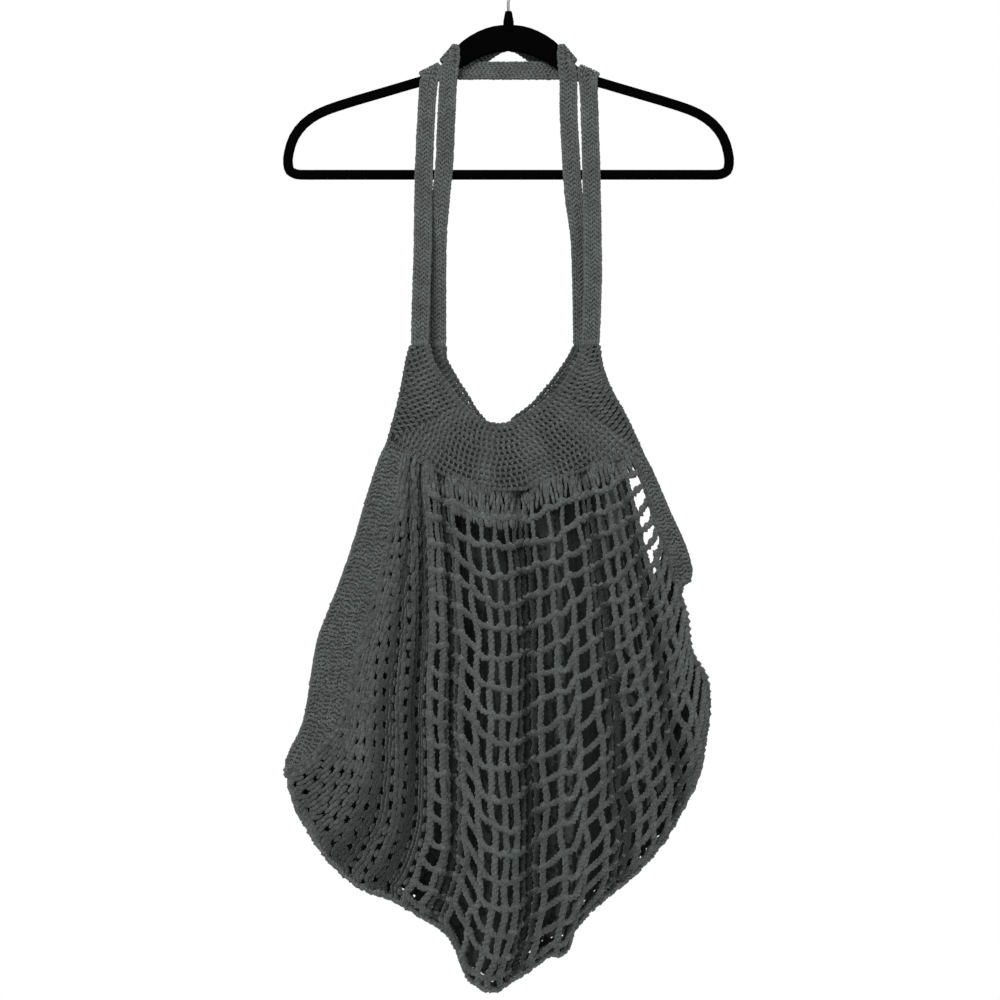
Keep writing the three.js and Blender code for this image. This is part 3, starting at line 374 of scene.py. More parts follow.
class NetWall(Surface):
    """The front or back wall of the pouch: u counts pleat lines, v runs from the yoke to the fold."""

    # The pleats are fullest in the middle of the fall, and keep this share of their depth at its ends.
    LEAST_FULLNESS = 0.35
    FULL_RANGE = (0.12, 0.92)
    LEAST_DEPTH = SIZES.hem_half_depth * 0.8

    def __init__(self, side: Side) -> None:
        """Lay the wall's four edges.

        Args:
            side: the front or the back.
        """
        self.side = side
        self.pleats = FRONT_PLEATS if side is Side.FRONT else BACK_PLEATS
        self.last = len(self.pleats) - 1
        self.top_ends = (LEFT_BAND[0, 2] * SIZES.bag_width, RIGHT_BAND[0, 2] * SIZES.bag_width)
        self.fold = Curve(place(LOWER_FOLD))
        self.left = self._side_curve(0.0, LEFT_BAND, LEFT_SIDE)
        self.right = self._side_curve(1.0, RIGHT_BAND, RIGHT_SIDE)

    def _side_curve(self, share: float, band: Array, free: Array) -> Curve:
        """One side edge of the wall, along the band's net edge and then the free side."""
        return Curve(np.vstack([self.top_at(share), place(band[1:, 2:4]), place(free)]))

    def top_at(self, share: Array) -> Array:
        """Points just under the yoke's edge."""
        across = lerp(*self.top_ends, np.asarray(share, float))
        return np.stack([across, YOKE_EDGE.height_at(across) - SIZES.seam_gap], -1)

    def fold_at(self, share: Array) -> Array:
        """Points on the lower fold."""
        across = lerp(self.fold.points[0, 0], self.fold.points[-1, 0], np.asarray(share, float))
        return np.stack([across, self.fold.height_at(across)], -1)

    def at(self, u: Array, v: Array) -> Array:
        """Points of the pleated wall.

        Args:
            u: places counted in pleat lines.
            v: shares of the way from the yoke to the fold.

        Returns:
            Points in millimetres.
        """
        u, v = np.broadcast_arrays(np.clip(np.asarray(u, float), 0, self.last), np.clip(np.asarray(v, float), 0, 1))
        lines = np.arange(self.last + 1)
        across = u / self.last
        top = self.top_at(np.interp(u, lines, self.pleats[:, 0]))
        foot = self.fold_at(np.interp(u, lines, self.pleats[:, 1]))
        low = np.minimum(u.astype(int), self.last - 1)
        depth_share = lerp(self.pleats[low, 2], self.pleats[low + 1, 2], smooth(u - low))
        left, right = self.left.along(v), self.right.along(v)
        a, d = across[..., None], v[..., None]
        corners = lerp(lerp(self.top_at(0), self.top_at(1), a), lerp(self.fold_at(0), self.fold_at(1), a), d)
        flat = lerp(top, foot, d) + lerp(left, right, a) - corners
        belly = np.where(v < 0.5, lerp(SIZES.yoke_half_depth, SIZES.belly_half_depth, smooth(np.minimum(1, v * 2))),
                         lerp(SIZES.hem_half_depth, SIZES.belly_half_depth,
                              np.sqrt(np.maximum(0, 1 - (2 * v - 1) ** 2))))
        edge = np.where(across < 0.5, side_half_depth(v, SLIT_FOOT[Hand.LEFT]),
                        side_half_depth(v, SLIT_FOOT[Hand.RIGHT]))
        inside = np.sin(np.pi * across)
        half = lerp(edge, belly, inside ** 0.7)
        full = np.sin(np.pi * lerp(*self.FULL_RANGE, v))
        fullness = SIZES.pleat_depth * lerp(self.LEAST_FULLNESS, 1, full) * inside ** 0.3
        depth = np.maximum(half - fullness * depth_share, self.LEAST_DEPTH)
        return np.stack([flat[..., 0], SIZES.mid_depth + self.side.value * depth, flat[..., 1]], -1)


class YokeSheet(Surface):
    """A yoke: u counts ribs from the left foot, v runs from the neckline to the outer edge."""

    def __init__(self, side: Side) -> None:
        """Lay the yoke's two edges.

        Args:
            side: the front or the back.
        """
        self.side = side
        self.rows = FRONT_YOKE if side is Side.FRONT else BACK_YOKE
        self.last = len(self.rows) - 1
        self.neck = place(self.rows[:, 0:2])
        self.edge = place(self.rows[:, 2:4])

    def _rib(self, points: Array, u: Array) -> Array:
        """Points of a smooth edge that has corners at the two corner ribs.

        Args:
            points: the edge's rows.
            u: places counted in ribs.

        Returns:
            Points across and up.
        """
        k = np.clip(u.astype(int), 0, self.last - 1)
        w = (u - k)[..., None]
        p0, p3 = points[np.maximum(k - 1, 0)], points[np.minimum(k + 2, self.last)]
        p1, p2 = points[k], points[k + 1]
        sharp = ((k == LEFT_CORNER_RIB) | (k == RIGHT_CORNER_RIB))[..., None]
        sharp_next = ((k + 1 == LEFT_CORNER_RIB) | (k + 1 == RIGHT_CORNER_RIB))[..., None]
        v0 = np.where(sharp, p2 - p1, (p2 - p0) / 2)
        v1 = np.where(sharp_next, p2 - p1, (p3 - p1) / 2)
        return (2 * p1 - 2 * p2 + v0 + v1) * w ** 3 + (-3 * p1 + 3 * p2 - 2 * v0 - v1) * w ** 2 + v0 * w + p1

    def rib_length(self, u: Array) -> Array:
        """Length of the ribs from the neckline to the outer edge.

        Args:
            u: places counted in ribs.

        Returns:
            Lengths in millimetres.
        """
        u = np.asarray(u, float)
        return np.linalg.norm(self._rib(self.edge, u) - self._rib(self.neck, u), axis=-1)

    def at(self, u: Array, v: Array) -> Array:
        """Points of the yoke.

        Args:
            u: places counted in ribs.
            v: shares of the way from the neckline to the outer edge.

        Returns:
            Points in millimetres.
        """
        u, v = np.broadcast_arrays(np.clip(np.asarray(u, float), 0, self.last), np.asarray(v, float))
        flat = lerp(self._rib(self.neck, u), self._rib(self.edge, u), v[..., None])
        from_foot = np.minimum(1, np.minimum(u, self.last - u) / LEFT_CORNER_RIB)
        share = np.clip((u - LEFT_CORNER_RIB) / (RIGHT_CORNER_RIB - LEFT_CORNER_RIB), 0, 1)
        outer = lerp(SIZES.slit_half_depth, SIZES.yoke_half_depth, np.sin(share * np.pi))
        inner = lerp(SIZES.foot_half_depth, outer, 0.8)
        half = lerp(SIZES.foot_half_depth, lerp(inner, outer, v), smooth(from_foot))
        return np.stack([flat[..., 0], SIZES.mid_depth + self.side.value * half, flat[..., 1]], -1)


class Behind(Surface):
    """A sheet that lies a little off another one, towards the back."""

    def __init__(self, sheet: Surface, depth: float) -> None:
        """Keep the other sheet and how far behind it this one lies."""
        self.sheet = sheet
        self.depth = depth

    def at(self, u: Array, v: Array) -> Array:
        """Points of the other sheet, moved in depth."""
        return self.sheet.at(u, v) + np.array([0, self.depth, 0])


class BandSheet(Surface):
    """A slit's band: u from 0 to 1 goes down the front, round the foot and up the back, v crosses it."""

    step = (0.002, 0.02)
    TURN = 0.04
    OVERLAP = 0.8

    def __init__(self, hand: Hand) -> None:
        """Lay the band's two edges.

        Args:
            hand: the left or the right slit.
        """
        self.hand = hand
        rows = LEFT_BAND if hand is Hand.LEFT else RIGHT_BAND
        self.slit = Curve(place(rows[:, 0:2]))
        wall = NetWall(Side.FRONT)
        self.net = wall.left if hand is Hand.LEFT else wall.right
        self.foot = SLIT_FOOT[hand]

    def at(self, u: Array, v: Array) -> Array:
        """Points of the band.

        Args:
            u: shares of the way down the front and up the back.
            v: shares of the way from the slit to the net.

        Returns:
            Points in millimetres.
        """
        u, v = np.broadcast_arrays(np.clip(np.asarray(u, float), 0, 1), np.asarray(v, float))
        leg = 0.5 - self.TURN
        down = np.clip(np.where(u < 0.5, u, 1 - u) / leg, 0, 1)
        angle = np.clip((u - leg) / (2 * self.TURN), 0, 1) * np.pi
        slit = self.slit.along(down)
        net = self.net.along(down * self.foot) + np.array([self.hand.value * self.OVERLAP, self.OVERLAP])
        flat = lerp(slit, net, v[..., None])
        half = side_half_depth(down * self.foot, self.foot)
        bulge = self.hand.value * half * np.sin(angle) * lerp(0.1, 0.6, v)
        return np.stack([flat[..., 0] + bulge, SIZES.mid_depth - half * np.cos(angle), flat[..., 1]], -1)

    @property
    def length(self) -> float:
        """Length of the slit's edge round the band."""
        return self.slit.length * 2 + np.pi * SIZES.hem_half_depth


class StrapSheet(Surface):
    """A handle's strap: u from 0 to 1 runs from the left foot to the right one, v crosses it."""

    step = (0.0015, 0.05)

    def __init__(self, side: Side, edge: Curve) -> None:
        """Lay the strap's path.

        Args:
            side: the front or the back handle.
            edge: the hanger's upper edge, which the strap lies on.
        """
        self.side = side
        plan = HANDLES[side]
        foot = SIZES.mid_depth + side.value * SIZES.foot_half_depth
        behind = SIZES.strap_radius
        if side is Side.BACK:
            behind += SIZES.strap_thickness + SIZES.seam_gap
        level = SIZES.arch_top - plan["fall"] * SIZES.hanger_fall
        left, left_end = self._leg(Hand.LEFT, plan, edge, foot, behind, level)
        right, right_end = self._leg(Hand.RIGHT, plan, edge, foot, behind, level)
        middle = []
        for share in np.linspace(0, 1, 9)[1:-1]:
            centre = lerp(left_end, right_end, share)
            centre = centre + np.array([0, 0, plan["rise"] * SIZES.hanger_fall * math.sin(share * math.pi) ** 2])
            middle.append((centre, np.array([0, 0, 1.0]), np.array([0, 1.0, 0]), SIZES.strap_width))
        rings = left + middle + right[::-1]
        centres = np.array([r[0] for r in rings])
        across = np.array([r[1] for r in rings])
        outward = np.array([r[2] for r in rings])
        widths = np.array([[r[3]] for r in rings])
        for k in range(1, len(across)):
            if np.dot(across[k], across[k - 1]) < 0:
                across[k] *= -1
        self.path = Curve(np.hstack([centres, across, outward, widths]), samples=400)
        self.path.lengths = run_along(self.path.points[:, :3])

    @staticmethod
    def _leg(hand: Hand, plan: dict, edge: Curve, foot: float, behind: float,
             level: float) -> tuple[list[Ring], Array]:
        """One half of a strap's path, from its foot over the shoulder to the level part behind.

        Args:
            hand: the left or the right leg.
            plan: the handle's row of the table of legs.
            edge: the hanger's upper edge.
            foot: depth of the strap's foot.
            behind: depth of the strap behind the hanger.
            level: height of the level part.

        Returns:
            The sections, each with its centre, direction across, outward direction and width, and the end point.
        """
        side = hand.value
        rows, outer_share, inner_share = plan[hand]
        outer_x, inner_x = outer_share * SIZES.hanger_width / 2, inner_share * SIZES.hanger_width / 2
        outer_z, inner_z = edge.height_at(outer_x), edge.height_at(inner_x)
        shares = np.linspace(0, 1, 11)
        lift = max(0.0, float(np.max(edge.height_at(lerp(outer_x, inner_x, shares)) - lerp(outer_z, inner_z, shares))))
        slope = math.atan2(inner_z - outer_z, outer_x - inner_x)
        wrap_z = (outer_z + inner_z) / 2 + lift + SIZES.arch_top
        along = np.array([-side * math.cos(slope), 0, math.sin(slope)])
        up = np.array([side * math.sin(slope), 0, math.cos(slope)])
        front = np.array([0, -1.0, 0])
        pivot = np.array([side * (outer_x + inner_x) / 2, 0, wrap_z]) - up * SIZES.hanger_thickness / 2
        inward = np.array([-float(side), 0, 0])
        rings = []
        foot_level = SIZES.feet_level + SIZES.seam_gap
        for across, rise in rows:
            depth = lerp(foot, SIZES.mid_depth, smooth(min(1, rise / plan["upright"])))
            centre = np.array([across * SIZES.bag_width, depth, lerp(foot_level, pivot[2], rise)])
            rings.append((centre, inward, front, SIZES.strap_width))
        wide = SIZES.strap_width * WRAP_WIDENING
        for first, depth in ((0.0, 0.0), (math.pi / 2, behind - SIZES.strap_radius)):
            for step in range(4):
                angle = first + step / 3 * math.pi / 2
                outward = front * math.cos(angle) + up * math.sin(angle)
                centre = pivot + outward * SIZES.strap_radius + np.array([0, depth, 0])
                if step > 0 or first == 0 or depth > 0:
                    rings.append((centre, along, outward, wide))
        start = np.array([pivot[0], behind, pivot[2]])
        end = np.array([pivot[0] - side * SIZES.strap_width * TURN_LENGTH, behind, level])
        for share in (0.25, 0.5, 0.75, 1.0):
            turn = lerp(slope, math.pi / 2, share)
            centre = lerp(start, end, share)
            centre[2] = lerp(start[2], end[2], smooth(share))
            across = np.array([-side * math.cos(turn), 0, math.sin(turn)])
            rings.append((centre, across, np.array([0, 1.0, 0]), lerp(wide, SIZES.strap_width, share)))
        return rings, end

    @property
    def length(self) -> float:
        """Length of the strap between its feet."""
        return self.path.length

    def at(self, u: Array, v: Array) -> Array:
        """Points of the strap's middle layer.

        Args:
            u: shares of the way between the feet.
            v: shares of the strap's width.

        Returns:
            Points in millimetres.
        """
        u, v = np.broadcast_arrays(np.clip(np.asarray(u, float), 0, 1), np.asarray(v, float))
        row = self.path.along(u)
        return row[..., 0:3] + unit(row[..., 3:6]) * (row[..., 9:10] * (v[..., None] - 0.5))

    def basis(self, u: Array, v: Array) -> tuple[Array, Array, Array, Array]:
        """Points and directions of the strap.

        Args:
            u: shares of the way between the feet.
            v: shares of the strap's width.

        Returns:
            Points, tangents along the strap, tangents across it and outward normals.
        """
        row = self.path.along(np.clip(u, 0, 1))
        normal = unit(row[..., 6:9])
        across = unit(row[..., 3:6])
        return self.at(u, v), unit(np.cross(across, normal)), across, normal


@dataclass
class YarnMesh:
    """Collects many small bodies of yarn into one mesh.

    hollow is the painted shade on the side of a strand that faces into the cloth, and floor is the brightness that
    painted shade leaves on a stitch's underside.
    """

    # How unevenly the yarn is spun, how far it wanders in millimetres, and how thin its ends are.
    SPUN = (0.86, 1.16)
    WANDER = 0.16
    TIP = 0.35
    # Sides and rings of a rounded stitch, and how much painted shade darkens its ends, where stitches meet.
    LOBE = (5, 4)
    PAINTED_END_SHADE = 0.45

    name: str
    points: list = field(default_factory=list)
    quads: list = field(default_factory=list)
    triangles: list = field(default_factory=list)
    shades: list = field(default_factory=list)
    strands: list = field(default_factory=list)
    count: int = 0
    inner_shade: float = 0.2
    floor: float = 0.35
    random: np.random.Generator = field(default_factory=lambda: np.random.default_rng(5))

    def add(self, points: Array, shade: Array, strand: Array) -> int:
        """Add points with their attributes.

        Args:
            points: places in millimetres.
            shade: brightness of each.
            strand: place along the yarn, and cosine and sine of the place round it.

        Returns:
            The first point's number.
        """
        start = self.count
        self.points.append(points.reshape(-1, 3))
        self.shades.append(np.broadcast_to(shade, points.shape[:-1]).reshape(-1))
        self.strands.append(strand.reshape(-1, 3))
        self.count += len(self.points[-1])
        return start

    def tube(self, path: Array, normals: Array, radius: Value, sides: int = 6, tone: Value = 1.0,
             beads: Value = 1.0, flat: float = 1.0) -> None:
        """Add a strand of yarn along a path.

        Args:
            path: points of the middle line, in millimetres.
            normals: directions that start the section's round.
            radius: radius at each point.
            sides: sides of the section.
            tone: brightness of the strand.
            beads: brightness at each point, with painted shade where two stitches meet.
            flat: height of the section as a share of its width.
        """
        count = len(path)
        normal, other = axes_along(path, normals)
        angle = np.arange(sides) / sides * 2 * np.pi
        radius = np.broadcast_to(radius, (count,)) * self.random.uniform(*self.SPUN, count)
        path = path + self.random.normal(0, self.WANDER, path.shape)
        radius[[0, -1]] *= self.TIP
        ring = (normal[:, None] * np.cos(angle)[None, :, None] * flat + other[:, None] * np.sin(angle)[None, :, None])
        points = path[:, None] + ring * radius[:, None, None]
        run = run_along(path)
        strand = np.stack(np.broadcast_arrays(run[:, None], np.cos(angle)[None], np.sin(angle)[None]), -1)
        bright = np.broadcast_to(np.asarray(beads) * tone, (count,))[:, None]
        # Painted shade: a strand is darker on its side that faces into the cloth.
        shade = bright * (1 - self.inner_shade + self.inner_shade * np.cos(angle))[None]
        start = self.add(points, shade, strand)
        row = np.arange(count - 1)[:, None] * sides + start
        k = np.arange(sides)[None]
        after = (k + 1) % sides
        self.quads.append(np.stack([row + k, row + after, row + after + sides, row + k + sides], -1).reshape(-1, 4))
        fan = np.arange(1, sides - 1)
        last = start + (count - 1) * sides
        self.triangles.append(np.stack([fan * 0 + start, start + fan + 1, start + fan], -1))
        self.triangles.append(np.stack([fan * 0 + last, last + fan, last + fan + 1], -1))

    def rope(self, path: Array, normals: Array, radius: Value, pitch: float, start: float = 0.0,
             sides: int = 5, tone: Value = 1.0) -> None:
        """Add two strands that twist round each other, as a crocheted post or chain does.

        Args:
            path: points of the middle line, in millimetres.
            normals: directions that start the section's round.
            radius: radius of the whole rope.
            pitch: length of one turn.
            start: angle of the first strand at the path's start.
            sides: sides of a strand's section.
            tone: brightness of the rope.
        """
        normal, other = axes_along(path, normals)
        run = run_along(path)
        for phase in (start, start + math.pi):
            angle = run / pitch * 2 * math.pi + phase
            swing = normal * np.cos(angle)[:, None] * 0.8 + other * np.sin(angle)[:, None]
            lit = 0.6 + 0.4 * (0.5 + 0.5 * np.cos(angle))
            strand = path + swing * np.reshape(radius, (-1, 1)) * 0.52
            self.tube(strand, normals, radius * (0.72 + 0.09 * np.cos(angle * 2)), sides, tone, lit)

    def lobes(self, centres: Array, along: Array, normal: Array, sizes: Array, tone: Value = 1.0) -> None:
        """Add many rounded stitches.

        Args:
            centres: middle points.
            along: long directions.
            normal: directions out of the cloth.
            sizes: half length, half width and half height of each.
            tone: brightness of each.
        """
        sides, rings = self.LOBE
        turn = np.arange(sides) / sides * 2 * np.pi
        tilt = np.arange(1, rings) / rings * np.pi
        shape = np.stack([np.broadcast_to(-np.cos(tilt)[:, None], (rings - 1, sides)),
                          np.sin(tilt)[:, None] * np.cos(turn)[None], np.sin(tilt)[:, None] * np.sin(turn)[None]], -1)
        template = np.vstack([[(-1, 0, 0)], shape.reshape(-1, 3), [(1, 0, 0)]])
        count, size = len(centres), len(template)
        along = unit(along)
        across = unit(np.cross(normal, along))
        out = np.cross(along, across)
        sizes = np.broadcast_to(sizes, (count, 3))
        points = (centres[:, None] + along[:, None] * (template[None, :, 0:1] * sizes[:, None, 0:1])
                  + across[:, None] * (template[None, :, 1:2] * sizes[:, None, 1:2])
                  + out[:, None] * (template[None, :, 2:3] * sizes[:, None, 2:3]))
        # Painted shade: a stitch is darker towards its underside, down to floor, and towards its ends, where stitches
        # meet.
        height = 0.5 + 0.5 * template[:, 2]
        ends = 1 - self.PAINTED_END_SHADE * template[:, 0] ** 2
        shade = (self.floor + (1 - self.floor) * height) * ends * np.broadcast_to(tone, (count,))[:, None]
        strand = np.stack(np.broadcast_arrays(template[None, :, 0] * sizes[:, 0:1], template[None, :, 1],
                                              template[None, :, 2]), -1)
        start = self.add(points, shade, strand)
        k = np.arange(sides)
        after = (k + 1) % sides
        quads = [np.stack([1 + r * sides + k, 1 + r * sides + after, 1 + (r + 1) * sides + after,
                           1 + (r + 1) * sides + k], -1) for r in range(rings - 2)]
        caps = np.vstack([np.stack([k * 0, 1 + after, 1 + k], -1),
                          np.stack([k * 0 + size - 1, size - 1 - sides + k, size - 1 - sides + after], -1)])
        base = (np.arange(count) * size + start)[:, None, None]
        self.quads.append((np.vstack(quads)[None] + base).reshape(-1, 4))
        self.triangles.append((caps[None] + base).reshape(-1, 3))

    def build(self, material: bpy.types.Material) -> bpy.types.Object:
        """Make the object in metres, with the shade and strand attributes.

        Args:
            material: finish of the yarn.

        Returns:
            The object, linked to the scene.
        """
        mesh = bpy.data.meshes.new(self.name)
        points = np.vstack(self.points) * MM
        quads = np.vstack(self.quads) if self.quads else np.zeros((0, 4), int)
        triangles = np.vstack(self.triangles) if self.triangles else np.zeros((0, 3), int)
        loops = np.concatenate([quads.reshape(-1), triangles.reshape(-1)])
        starts = np.concatenate([np.arange(len(quads)) * 4, len(quads) * 4 + np.arange(len(triangles)) * 3])
        mesh.vertices.add(len(points))
        mesh.vertices.foreach_set("co", points.astype(np.float32).reshape(-1))
        mesh.loops.add(len(loops))
        mesh.loops.foreach_set("vertex_index", loops.astype(np.int32))
        mesh.polygons.add(len(starts))
        mesh.polygons.foreach_set("loop_start", starts.astype(np.int32))
        mesh.update(calc_edges=True)
        mesh.validate()
        shade = mesh.attributes.new("shade", "FLOAT", "POINT")
        shade.data.foreach_set("value", np.concatenate(self.shades).astype(np.float32))
        strand = mesh.attributes.new("strand", "FLOAT_VECTOR", "POINT")
        strand.data.foreach_set("vector", np.vstack(self.strands).astype(np.float32).reshape(-1))
        mesh.polygons.foreach_set("use_smooth", np.ones(len(mesh.polygons), bool))
        mesh.materials.append(material)
        obj = bpy.data.objects.new(self.name, mesh)
        bpy.context.scene.collection.objects.link(obj)
        LOG.info("%s: %d triangles", self.name, len(quads) * 2 + len(triangles))
        return obj


PLY_PITCH = 2.6
Socket = bpy.types.NodeSocket
Colour = tuple[float, float, float]


def new_material(name: str) -> tuple[bpy.types.Material, bpy.types.NodeTree, bpy.types.Node]:
    """Make an empty material.

    Args:
        name: name of the material.

    Returns:
        The material, its node tree and its shader.
    """
    material = bpy.data.materials.new(name)
    material.use_nodes = True
    return material, material.node_tree, material.node_tree.nodes["Principled BSDF"]


def mix_colours(tree: bpy.types.NodeTree, first: Colour, second: Colour, factor: Socket,
                shader: bpy.types.Node) -> None:
    """Mix two colours into a shader's base colour.

    Args:
        tree: the material's nodes.
        first: colour where the factor is 0.
        second: colour where the factor is 1.
        factor: the mask.
        shader: the node that takes the colour.
    """
    mix = tree.nodes.new("ShaderNodeMix")
    mix.data_type = "RGBA"
    mix.inputs["A"].default_value = (*first, 1)
    mix.inputs["B"].default_value = (*second, 1)
    tree.links.new(factor, mix.inputs["Factor"])
    tree.links.new(mix.outputs["Result"], shader.inputs["Base Color"])


def add_bump(tree: bpy.types.NodeTree, height: Socket, strength: float, distance: float,
             shader: bpy.types.Node) -> None:
    """Let a height bend a shader's normals.

    Args:
        tree: the material's nodes.
        height: the height.
        strength: how strong the bumps look.
        distance: their depth in metres.
        shader: the node that takes the normals.
    """
    bump = tree.nodes.new("ShaderNodeBump")
    bump.inputs["Strength"].default_value = strength
    bump.inputs["Distance"].default_value = distance
    tree.links.new(height, bump.inputs["Height"])
    tree.links.new(bump.outputs["Normal"], shader.inputs["Normal"])


def math_node(tree: bpy.types.NodeTree, operation: str, first: Socket | float, second: Socket | float = 0.0) -> Socket:
    """Add a maths node.

    Args:
        tree: the nodes that it joins.
        operation: what it does.
        first: a socket or a number.
        second: a socket or a number.

    Returns:
        The node's output.
    """
    node = tree.nodes.new("ShaderNodeMath")
    node.operation = operation
    for k, value in enumerate((first, second)):
        if isinstance(value, bpy.types.NodeSocket):
            tree.links.new(value, node.inputs[k])
        else:
            node.inputs[k].default_value = value
    return node.outputs[0]


def noise_node(tree: bpy.types.NodeTree, scale: float, detail: float = 2.0) -> Socket:
    """Add noise in object coordinates.

    Args:
        tree: the nodes that it joins.
        scale: waves in a metre.
        detail: levels of finer noise.

    Returns:
        The noise's value.
    """
    coords = tree.nodes.new("ShaderNodeTexCoord")
    noise = tree.nodes.new("ShaderNodeTexNoise")
    noise.inputs["Scale"].default_value = scale
    noise.inputs["Detail"].default_value = detail
    tree.links.new(coords.outputs["Object"], noise.inputs["Vector"])
    return noise.outputs["Fac"]


def yarn_relief_group() -> bpy.types.NodeTree:
    """The shared look of a plied yarn: a height for bumps, and a tone that holds the painted shade, darker in the
    ply's grooves, with random speckle and patches.
    """
    found = bpy.data.node_groups.get("yarn_relief")
    if found:
        return found
    tree = bpy.data.node_groups.new("yarn_relief", "ShaderNodeTree")
    tree.interface.new_socket("Height", in_out="OUTPUT", socket_type="NodeSocketFloat")
    tree.interface.new_socket("Tone", in_out="OUTPUT", socket_type="NodeSocketFloat")
    strand = tree.nodes.new("ShaderNodeAttribute")
    strand.attribute_name = "strand"
    parts = tree.nodes.new("ShaderNodeSeparateXYZ")
    tree.links.new(strand.outputs["Vector"], parts.inputs[0])
    run, cosine, sine = parts.outputs
    double_cos = math_node(tree, "SUBTRACT", math_node(tree, "MULTIPLY", cosine, cosine),
                           math_node(tree, "MULTIPLY", sine, sine))
    double_sin = math_node(tree, "MULTIPLY", math_node(tree, "MULTIPLY", cosine, sine), 2.0)
    turn = math_node(tree, "MULTIPLY", run, 2 * math.pi / PLY_PITCH)
    wave = math_node(tree, "ADD", math_node(tree, "MULTIPLY", math_node(tree, "SINE", turn), double_cos),
                     math_node(tree, "MULTIPLY", math_node(tree, "COSINE", turn), double_sin))
    ply = math_node(tree, "ADD", math_node(tree, "MULTIPLY", wave, 0.5), 0.5)
    fuzz = noise_node(tree, 1700.0, 3.0)
    cloth = noise_node(tree, 55.0, 3.0)
    lint = noise_node(tree, 520.0, 3.0)
    height = math_node(tree, "ADD", math_node(tree, "MULTIPLY", ply, 0.8), math_node(tree, "MULTIPLY", fuzz, 0.8))
    height = math_node(tree, "ADD", height, math_node(tree, "MULTIPLY", lint, 1.8))
    shade = tree.nodes.new("ShaderNodeAttribute")
    shade.attribute_name = "shade"
    # Painted shade: the shade attribute, darkened more in the grooves between the plies.
    body = math_node(tree, "MULTIPLY", shade.outputs["Fac"],
                     math_node(tree, "ADD", math_node(tree, "MULTIPLY", ply, 0.3), 0.7))
    speckle = math_node(tree, "ADD", math_node(tree, "ADD", math_node(tree, "MULTIPLY", fuzz, 0.4),
                                               math_node(tree, "MULTIPLY", lint, 2.0)), -0.2)
    patch = math_node(tree, "ADD", math_node(tree, "MULTIPLY", cloth, 1.1), 0.43)
    tone = math_node(tree, "MULTIPLY", body, math_node(tree, "MULTIPLY", speckle, patch))
    out = tree.nodes.new("NodeGroupOutput")
    tree.links.new(height, out.inputs["Height"])
    tree.links.new(tone, out.inputs["Tone"])
    return tree


@dataclass(frozen=True)
class YarnFinish:
    """Cotton yarn: the colours at the two ends of its painted shade and tone, darkest in full shade, and how strong
    the twist shows.
    """

    name: str
    dark: Colour
    light: Colour
    twist: float = 0.6

    def build(self) -> bpy.types.Material:
        """Make the material."""
        material, tree, shader = new_material(self.name)
        relief = tree.nodes.new("ShaderNodeGroup")
        relief.node_tree = yarn_relief_group()
        mix_colours(tree, self.dark, self.light, relief.outputs["Tone"], shader)
        add_bump(tree, relief.outputs["Height"], self.twist, 0.0009, shader)
        shader.inputs["Roughness"].default_value = 0.92
        shader.inputs["Specular IOR Level"].default_value = 0.15
        shader.inputs["Sheen Weight"].default_value = 0.25
        shader.inputs["Sheen Roughness"].default_value = 0.6
        shader.inputs["Sheen Tint"].default_value = (0.75, 0.78, 0.76, 1)
        return material


YARN = YarnFinish("cotton yarn", (0.0055, 0.006, 0.0068), (0.107, 0.118, 0.114))
BAND_YARN = YarnFinish("band yarn", (0.0055, 0.006, 0.007), (0.096, 0.105, 0.103))


@dataclass(frozen=True)
class FlockFinish:
    """Short black flock on plastic."""

    name: str = "black flock"
    dark: Colour = (0.00024, 0.00024, 0.00028)
    light: Colour = (0.00144, 0.00144, 0.00168)

    def build(self) -> bpy.types.Material:
        """Make the material."""
        material, tree, shader = new_material(self.name)
        fibres = noise_node(tree, 2600.0, 4.0)
        worn = math_node(tree, "ADD", noise_node(tree, 60.0, 3.0), 0.4)
        mix_colours(tree, self.dark, self.light, math_node(tree, "MULTIPLY", fibres, worn), shader)
        add_bump(tree, fibres, 0.5, 0.0003, shader)
        shader.inputs["Roughness"].default_value = 0.95
        shader.inputs["Specular IOR Level"].default_value = 0.01
        return material


@dataclass(frozen=True)
class WireFinish:
    """Plated wire with a faint grain."""

    name: str = "bright wire"

    def build(self) -> bpy.types.Material:
        """Make the material."""
        material, tree, shader = new_material(self.name)
        grain = math_node(tree, "MULTIPLY", noise_node(tree, 900.0, 2.0), 0.12)
        shader.inputs["Base Color"].default_value = (0.16, 0.162, 0.168, 1)
        shader.inputs["Metallic"].default_value = 1.0
        tree.links.new(math_node(tree, "ADD", grain, 0.3), shader.inputs["Roughness"])
        return material


